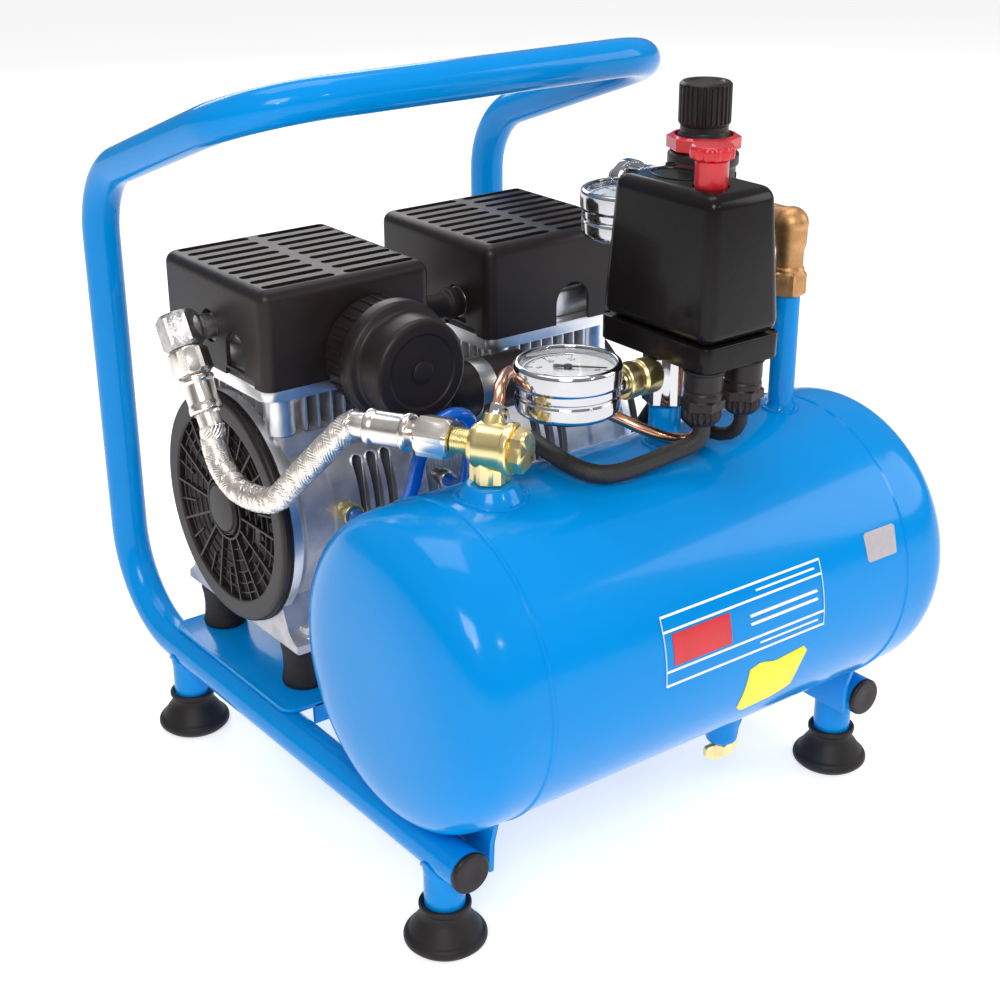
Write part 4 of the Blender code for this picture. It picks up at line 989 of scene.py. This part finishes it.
def top_end(side):
    """A cylinder with its flange, pillars and fins, and the head that stands on it."""
    name = SIDES[side]
    x, y = CYLINDER_X[side], MOTOR.y
    low, high = FLANGE
    outline = rounded_box(x - 43, x + 43, y - 44, y + 44, 7)
    shape = Shape().prism(outline, low, high, "Z", 1.2)
    shape.turned([(27.5, 206), (27.5, 236), (24.9, 236), (24.9, 191), (26.5, 190), (27.5, 192)],
                 (x, y, 0), UP, 64, ring=True)
    pillar = [(0, DECK_TOP), (8.4, DECK_TOP), (8.2, 214), (7.8, 218), (7.8, 228), (8.2, 232), (8.4, 235),
              (0, 235)]
    for a in (-36, 36):
        for b in (-38, 38):
            shape.turned(pillar, (x + a, y + b, 0), UP, 40, soft=1.2)
    half, fin_low, fin_high = 0.8, DECK_TOP + 0.2, low + 1
    steps = [-24 + 8 * i for i in range(7)]
    for a in (x + step for step in steps):
        shape.box((a - half, y - 45, fin_low), (a + half, y + 45, fin_high), 0.5)
    for b in (y + step for step in steps):
        shape.box((x - 38, b - half, fin_low), (x + 38, b + half, fin_high), 0.5)
    bring(shape, f"finned_cylinder_{name}", "bright_cast", nodes=[f"cylinder_{name}"])
    head = Shape().box((x - 42, y - 43, 241.3), (x + 42, y + 43, 258), 2.5, 3)
    for i in range(9):
        b = y - 36 + 9 * i
        head.box((x - 38, b - 1.6, 255), (x + 38, b + 1.6, 274), 1.0, 2)
    head.box((x - 40, y - 41, 257), (x - 30, y + 41, 270), 2, 3)
    head.box((x + 30, y - 41, 257), (x + 40, y + 41, 270), 2, 3)
    for a in (-35, 35):
        for b in (-34, 0, 34):
            head.nut((x + a, y + b, 269.6), UP, 5.4, 4.2)
    if side < 0:
        head.turned([(0, 0), (7.2, 0), (8, 1), (8, 8), (0, 8)], (x - 46, OUTLET.y, OUTLET.z), (1, 0, 0), 40)
    bring(head, f"valve_head_{name}", "bright_cast", nodes=[f"head_{name}"])


def arch_outline(centre, half, low, high):
    top = high - half
    return [(centre - half, low), (centre + half, low), *arc(centre, top, half, 0, 180, 16)]


def head_cover(side):
    name = SIDES[side]
    x, y = CYLINDER_X[side], MOTOR.y
    lo, hi = Vector((x - 52, y - 54, COVER_LOW)), Vector((x + 52, y + 54, COVER_TOP))
    low = COVER_LOW - 20
    body = bring(Shape().box((lo.x, lo.y, low), hi, 6.5, 6), f"vented_cover_{name}", "plastic",
                 nodes=[f"head_cover_{name}"])
    carve(body, Shape().box((lo.x - 5, lo.y - 5, low - 5), (hi.x + 5, hi.y + 5, COVER_LOW), 0))
    wall = 2.5
    inner = Shape().box((lo.x + wall, lo.y + wall, low), (hi.x - wall, hi.y - wall, COVER_TOP - wall), 4, 4)
    carve(body, inner)
    slots = Shape()
    pitch, reach, half = 11.2, 18.7, 2.8
    for a in (x - 24.5, x + 24.5):
        for b in (y + (row - 4) * pitch for row in range(9)):
            outline = arc(a + reach, b, half, -90, 180) + arc(a - reach, b, half, 90, 180)
            slots.prism(outline, COVER_TOP - 9, COVER_TOP + 4, "Z", 0)
    carve(body, slots)
    carve(body, Shape().prism(arch_outline(x + 8, 12, COVER_LOW - 8, 265), lo.y - 4, lo.y + 8, "Y", 0))
    for a, b in ((lo.x - 4, lo.x + 8), (hi.x - 8, hi.x + 4)):
        carve(body, Shape().prism(arch_outline(PORT_Y, 9.5, 246.5, 267), a, b, "X", 0))
        for middle in (y - 27, y + 27):
            carve(body, Shape().box((a, middle - 15, COVER_LOW - 8), (b, middle + 15, COVER_LOW + 4), 0.8))
    if side < 0:
        port = [(0, -5), (9, -5), (9, 9), (0, 9)]
        carve(body, Shape().turned(port, (lo.x, OUTLET.y, OUTLET.z), (1, 0, 0), 40))


def intake():
    base = Vector((-70, 15.5, 254))
    profile = [
        (0, -29), (7, -29), (7, -1), (10, 0), (27.5, 0), (28.8, 1.5), (28.8, 17), (30, 18), (32, 20),
        (32, 27), (31, 29), (28, 30.6), (27.3, 32), (27.3, 46), (26.4, 48), (24.8, 49), (20, 49),
        (19.2, 48.2), (0, 48.2),
    ]
    shape = Shape().turned(profile, base, (0, -1, 0), 128, soft=0.7)
    spin = spun((0, -1, 0))
    for k in range(28):
        a = math.tau * k / 28
        grip = base + spin @ pointing(a) * 29
        shape.tube([grip + Vector((0, -3, 0)), grip + Vector((0, -16, 0))], 0.9, 8)
    shape.turned([(0, 48), (6, 48), (6, 49.4), (5, 49.9), (0, 49.9)], base, (0, -1, 0), 48)
    bring(shape, "filter_housing", "plastic", nodes=["intake_filter"])
    link = Shape().turned(
        [(0, 0), (8, 0), (8, 11), (9, 12.6), (9, 17), (7, 18.6), (7, 38.8), (9, 40.4), (9, 44.8),
         (8, 46.4), (8, 57.4), (0, 57.4)], (-38.7, PORT_Y, PORT_Z), (1, 0, 0), 56, soft=0.7)
    bring(link, "crossover_hose", "rubber", nodes=["crossover_pipe"])
    bands = Shape()
    for x in (-33.4, 9.4):
        bands.turned([(8.9, 0), (8.9, 5), (8.1, 5), (8.1, 0)], (x, PORT_Y, PORT_Z), (1, 0, 0), 56, ring=True)
    bring(bands, "crossover_clamps", "steel")


def outlet():
    """The cast outlet elbow and the two crimped hose ends."""
    shape = Shape().nut(OUTLET - OUTLET_DIR * 9.5, OUTLET_DIR, 11.5, 19, 6, turn=0.52, chamfer=2.2)
    shape.turned([(0, 0), (7.6, 0), (9, 2), (9, 8), (6.8, 10), (6.8, 22.7), (0, 22.7)], OUTLET, (1, 0, 0), 40)
    bring(shape, "cast_elbow", "rough_cast", nodes=["outlet_elbow"])
    hose_end("upper", OUTLET + OUTLET_DIR * 9.9, OUTLET_DIR, 14.5, 1, 19.6)
    hose_end("lower", VALVE + VALVE_DIR * 19.3, VALVE_DIR, 17, 4, 23.7)


def hose_end(where, base, axis, nut, shank, ferrule):
    shape = Shape().nut(base, axis, 11, nut, turn=0.3, chamfer=1.6)
    shape.turned([(0, nut - 1), (7.4, nut - 0.6), (6, nut + 1), (6, nut + shank + 2), (0, nut + shank + 2)],
                 base, axis, 40)
    start = nut + shank
    profile = [
        (0, start), (8.6, start), (9.5, start + 0.8), (9.5, start + 3), (8.5, start + 4),
        (8.3, start + ferrule - 5), (8.9, start + ferrule - 3.4), (9.1, start + ferrule - 1),
        (8.4, start + ferrule), (0, start + ferrule),
    ]
    shape.turned(profile, base, axis, 64)
    bring(shape, f"crimped_end_{where}", "ferrule", nodes=[f"hose_end_{where}"])


# --- Fittings on the tank ---------------------------------------------------------------------------


def check_valve():
    profile = [(0, 19), (5.4, 19)]
    for i in range(7):
        z = 18.4 - i * 1.25
        profile += [(6.4, z - 0.3), (5.8, z - 0.9)]
    profile += [(6.2, 9.4), (9.5, 8.4), (11.3, 5.4), (11.5, 4), (11.5, -8.6), (12.6, -9.2), (12.6, -11.8),
                (11.6, -12.4), (0, -12.4)]
    shape = Shape().turned(profile, VALVE, VALVE_DIR, 72, soft=0.25)
    shape.nut(VALVE - VALVE_DIR * 12, -VALVE_DIR, 10.8, 7, 6, turn=0.2)
    shape.nut((VALVE_X, TANK_Y, 229.3), UP, 9.8, 13.6, 6, turn=0.4)
    shape.turned([(0, 238), (8.6, 238), (8.6, 243), (0, 243)], (VALVE_X, TANK_Y, 0), UP, 40)
    shape.turned([(0, 0), (6.2, 0), (5.4, 9.4), (0, 9.4)], VALVE + UP * 5, PORT_DIR, 40)
    bring(shape, "brass_check_valve", "brass", nodes=["check_valve"])
    nut = Shape().nut(VALVE + UP * 5 + PORT_DIR * 8.6, PORT_DIR, 5.8, 6.2, turn=0.3, chamfer=0.7)
    bring(nut, "relief_tube_nut", "chrome")


def manifold():
    shape = Shape().nut((STUB_X, TANK_Y, 244.3), UP, 11.8, 26.4, 6, turn=0.3, chamfer=1.4)
    bring(shape, "hex_manifold", "chrome", nodes=["manifold"])
    arm = Shape().turned(
        [(0, 0), (8.4, 0), (9.2, 0.8), (9.2, 7), (8, 8), (8, 10), (9.2, 11), (9.2, 20), (0, 20)],
        (-13.7, TANK_Y, 261), (1, 0, 0), 56)
    bring(arm, "gauge_union", "brass")


def number(text, size, place, turn):
    """The mesh of a number that lies flat at a place."""
    curve = bpy.data.curves.new("number", "FONT")
    curve.body = text
    curve.size = size * MM
    curve.align_x = curve.align_y = "CENTER"
    curve.extrude = 0.04 * MM
    thing = added("number", curve)
    bpy.context.view_layer.update()
    graph = bpy.context.evaluated_depsgraph_get()
    mesh = bpy.data.meshes.new_from_object(thing.evaluated_get(graph))
    mesh.transform(Matrix.Translation(Vector(place) * MM) @ Matrix.Rotation(turn, 4, "Z"))
    bpy.data.objects.remove(thing, do_unlink=True)
    return mesh


def gauge(index):
    """A face-up pressure gauge, with a plain dial, a glass and a needle on its own body."""
    base = GAUGES[index]
    which = index + 1
    profile = [
        (0, 0), (22.4, 0), (24.6, 1.6), (25.2, 3), (25.2, 8.6), (24.6, 9.2), (24.6, 10.4), (25.2, 11),
        (25.2, 14.6), (26, 16), (26, 23.4), (25.4, 24.7), (24.4, 25.2), (23.4, 25.2), (22.9, 24.6),
        (22.7, 20.4), (0, 20.2),
    ]
    shape = Shape().turned(profile, base, UP, 128, soft=0.35)
    if index == 0:
        stem = [(0, 20), (5, 20), (5, 25.5), (6.4, 26.5), (6.4, 33), (0, 33)]
        shape.turned(stem, base + UP * 7, (1, 0, 0), 40)
    else:
        shape.turned([(0, 20), (5, 20), (5, 30.7), (0, 30.7)], base + UP * 11, (1, 0, 0), 40)
    bring(shape, f"gauge_cup_{which}", "chrome", nodes=[f"gauge_{which}_case"])
    face = Shape().turned([(0, 20.3), (22.5, 20.3), (22.5, 20.6), (0, 20.6)], base, UP, 96, soft=0)
    bring(face, f"gauge_face_{which}", "dial")
    top = base + UP * 20.65
    marks = Shape()
    zero, sweep = math.radians(-45), math.radians(-270)
    for i in range(61):
        a = zero + sweep * i / 60
        out = pointing(a)
        long = i % 10 == 0
        inner = 16.8 if long else 18.2 if i % 5 == 0 else 19.2
        marks.tube([top + out * inner, top + out * 20.6], 0.3 if long else 0.16, 6, 0.4)
    marks.tube([top + pointing(zero + sweep * i / 80) * 20.8 for i in range(81)], 0.14, 6)
    for i in range(7):
        a = zero + sweep * i / 6
        marks.work.from_mesh(number(str(2 * i), 4.4, top + pointing(a) * 13.8, math.radians(-90)))
    bring(marks, f"gauge_scale_{which}", "ink")
    body = "tank_needle" if index == 0 else "outlet_needle"
    needle = Shape()
    ahead, side = pointing(zero), Vector((-math.sin(zero), math.cos(zero), 0))
    z = base + UP * 21.7
    outline = [(-7, -1.5), (-6, -1.9), (-3, -1.2), (-1, -0.9), (18, -0.25), (18.6, 0), (18, 0.25), (-1, 0.9),
               (-3, 1.2), (-6, 1.9), (-7, 1.5)]
    rows = [needle.row([z + ahead * a + side * b + UP * h for a, b in outline]) for h in (0, 0.5)]
    for row in rows:
        needle.work.faces.new(row)
    needle.wall(*rows)
    needle.turned([(0, -0.8), (2, -0.8), (2.2, 0.2), (1.8, 1), (0, 1.2)], z, UP, 32, soft=0.2)
    bring(needle, f"gauge_pointer_{which}", "ink", body, [f"gauge_{which}_needle"])
    pane = Shape().turned([(0, 23.3), (22.7, 23.3), (22.7, 23.9), (0, 24.2)], base, UP, 96, soft=0)
    bring(pane, f"gauge_glass_{which}", "glass")


def switch():
    lo, hi = SWITCH_LO, SWITCH_HI
    corners = rounded_box(lo.x + 5, hi.x - 5, lo.y + 5, hi.y - 5, 5)
    bring(Shape().prism(corners, lo.z, SEAM, "Z", 0.7), "switch_housing_base", "gloss",
          nodes=["switch_base"])
    bead = [Vector((a, b, SEAM + 0.2)) for a, b in corners + corners[:1]]
    bring(Shape().tube(bead, 0.32, 8), "switch_seam_line", "gloss")
    shape = Shape().box((lo.x, lo.y, SEAM + 0.3), hi, 7, 6)
    middle = (lo + hi) / 2
    for vertex in shape.work.verts:
        z = vertex.co.z / MM
        t = max(0.0, (z - SEAM - 10) / (hi.z - SEAM - 10))
        for k, shrink in ((0, 0.16), (1, 0.09)):
            vertex.co[k] = (middle[k] + (vertex.co[k] / MM - middle[k]) * (1 - shrink * t)) * MM
    cover = bring(shape, "switch_housing_top", "gloss", nodes=["switch_cover"])
    well = [(0, 0), (8.9, 0), (8.9, 20), (0, 20)]
    carve(cover, Shape().turned(well, (*KNOB, hi.z - 7), UP, 64))
    detail = Shape()
    oval = [Vector((middle.x + 11 * math.cos(a), middle.y + 12 + 15 * math.sin(a), hi.z + 0.05))
            for a in (math.tau * i / 48 for i in range(49))]
    detail.tube(oval, 0.5, 8)
    eyelet = [(3.2, 0.35), (3.2, -0.6), (2.2, -0.6), (2.2, 0.35)]
    for dx in (-13, 13):
        detail.turned(eyelet, (middle.x + dx, middle.y + 30.5, hi.z), UP, 32, ring=True, soft=0.1)
    edge = [Vector((lo.x + 3.2 + 3.6 * t, lo.y + 3.2 + 3.4 * t, SEAM + 6 + (hi.z - SEAM - 16) * t))
            for t in (i / 20 for i in range(21))]
    detail.tube(edge, 1.0, 10)
    bring(detail, "switch_top_details", "gloss")
    button = [(0, -7), (8, -7), (8, 12.5), (10.6, 13.5), (10.8, 15), (10.8, 18), (9.6, 19.8), (0, 20)]
    knob = Shape().turned(button, (*KNOB, hi.z), UP, 96, soft=0.6, form=ribs(12, 0.09), span=(12.6, 19))
    bring(knob, "red_switch_knob", "red", "power_knob", ["switch_knob"])


def glands():
    for i, (x, y) in enumerate(GLANDS):
        base = Vector((x, y, 0))
        shape = Shape().nut(base + UP * 250, UP, 10.8, 6.5, 6, turn=0.2)
        grip = [(0, 243), (6.5, 243), (8.6, 245), (9.6, 247), (9.6, 251), (0, 251)]
        shape.turned(grip, base, UP, 80, soft=0.4, form=ribs(18, 0.1), span=(244.5, 251))
        body = [(0, 256), (9.5, 256), (9.5, 259), (8.8, 260), (9.5, 261), (9.5, 269), (10.4, 270),
                (10.4, 270.7), (0, 270.7)]
        shape.turned(body, base, UP, 56)
        bring(shape, f"cable_gland_{i + 1}", "plastic", nodes=[f"gland_{i + 1}"])


def regulator():
    at = REGULATOR
    profile = [(0, -20), (12, -20), (13, -19), (13, -14), (17.5, -9), (17.5, 18.4), (19, 20.4), (19, 25.4),
               (17.4, 27), (0, 27)]
    shape = Shape().turned(profile, at, UP, 96)
    for direction, reach in (((0, -1, 0), 22), ((0, 1, 0), 22), ((-1, 0, 0), 19.5)):
        shape.turned([(0, 12), (9, 12), (9, reach - 1), (8.2, reach), (0, reach)], at, direction, 56)
    for k in range(10):
        rib = at + pointing(math.tau * (k + 0.5) / 10) * 17.3
        shape.tube([rib - UP * 8, rib + UP * 16], 0.9, 8)
    bring(shape, "regulator_housing", "plastic", nodes=["regulator_body"])
    ring = Shape().nut(at + UP * 27.3, UP, 19.8, 8.2, 8, bore=15.6, chamfer=1.0)
    bring(ring, "red_lock_ring", "red", nodes=["regulator_ring"])
    grip = [(0, 21), (10.8, 21), (10.8, 28.3), (14, 28.6), (14, 35.4), (12.8, 36.8), (12.8, 40), (14, 42),
            (14, 61.5), (12.5, 63), (9.8, 63), (9.2, 62.2), (0, 62.2)]
    knob = Shape().turned(grip, at, UP, 168, soft=0.5, form=ribs(28, 0.075), span=(42, 61.5))
    bring(knob, "pressure_grip", "plastic", "pressure_knob", ["regulator_knob"])


def inlet_elbow():
    top = Vector((RISER_X, TANK_Y, 322))
    shape = Shape().nut((RISER_X, TANK_Y, 285), UP, 9.6, 13, 6, chamfer=1.2)
    shape.turned([(0, 296), (8, 296), (8, 299), (7.2, 300), (7.2, 308), (8.3, 312), (8.5, 322), (0, 322)],
                 (RISER_X, TANK_Y, 0), UP, 48, soft=1.0)
    dome = [(8.7 * math.cos(a), 8.7 * math.sin(a)) for a in (math.pi * (i / 16 - 0.5) for i in range(17))]
    dome[0], dome[-1] = (0, -8.7), (0, 8.7)
    shape.turned(dome, top, UP, 48, soft=0)
    shape.turned([(0, 0), (8.4, 0), (7.6, 8), (7.6, 24), (9, 26), (9, 32), (7.6, 33), (7.6, 42.5), (0, 42.5)],
                 top, (0, 1, 0), 48)
    bring(shape, "bronze_elbow", "bronze", nodes=["inlet_elbow"])


def coupler():
    start = REGULATOR + Vector((0, 22.3, 0))
    shape = Shape().nut(start, (0, 1, 0), 11, 11, 6, turn=0.3)
    shape.turned([(0, 10), (8, 10), (8, 45), (7.4, 46), (5.4, 46), (5.3, 30), (0, 30)], start, (0, 1, 0), 56)
    bring(shape, "coupler_core", "ferrule", nodes=["coupler_body"])
    profile = [(8.5, 18), (11.2, 18), (11.4, 19), (11.4, 21), (10.8, 22), (10.8, 32), (12, 33), (12, 39),
               (11, 40), (8.5, 40)]
    knurl = ribs(36, 0.05)
    sleeve = Shape().turned(profile, start, (0, 1, 0), 180, ring=True, soft=0.4, form=knurl, span=(22, 32))
    bring(sleeve, "knurled_sleeve", "chrome", "sleeve", ["coupler_sleeve"])


def drain():
    at = Vector((*DRAIN, 56))
    shape = Shape().nut(at - UP * 14.4, UP, 6.6, 7.4, 6, chamfer=0.8)
    shape.turned([(0, 0), (3.4, 0), (3.4, -8), (0, -8)], at, UP, 32)
    outline = [(-12, -9), (-11, -7.4), (-7, -7.4), (-4, -9.4), (4, -9.4), (7, -7.4), (11, -7.4), (12, -9),
               (12, -13), (10, -15), (6, -16.5), (4, -18), (-4, -18), (-6, -16.5), (-10, -15), (-12, -13)]
    shape.prism([(at.x + a, at.z + b) for a, b in outline], at.y - 1.4, at.y + 1.4, "Y", 0.5)
    bring(shape, "drain_wing_screw", "brass", "drain", ["drain_screw"])


def plain_nodes():
    """Internal CAD nodes keep their shape and take a fine finish."""
    looks = {"rotor_shaft": "steel", "piston_left": "cast", "piston_right": "cast"}
    for node, finish in looks.items():
        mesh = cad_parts[node].data
        mesh.materials.clear()
        mesh.materials.append(MATERIALS[finish])


camera()
free_lines()
studio()
frame_tube()
feet()
rail_caps()
tank()
stickers()
base_plate()
for SIDE in SIDES:
    for make in (crankcase, fan, fan_grille, top_end, head_cover):
        make(SIDE)
motor()
intake()
outlet()
check_valve()
manifold()
gauge(0)
gauge(1)
switch()
glands()
regulator()
inlet_elbow()
coupler()
drain()
plain_nodes()
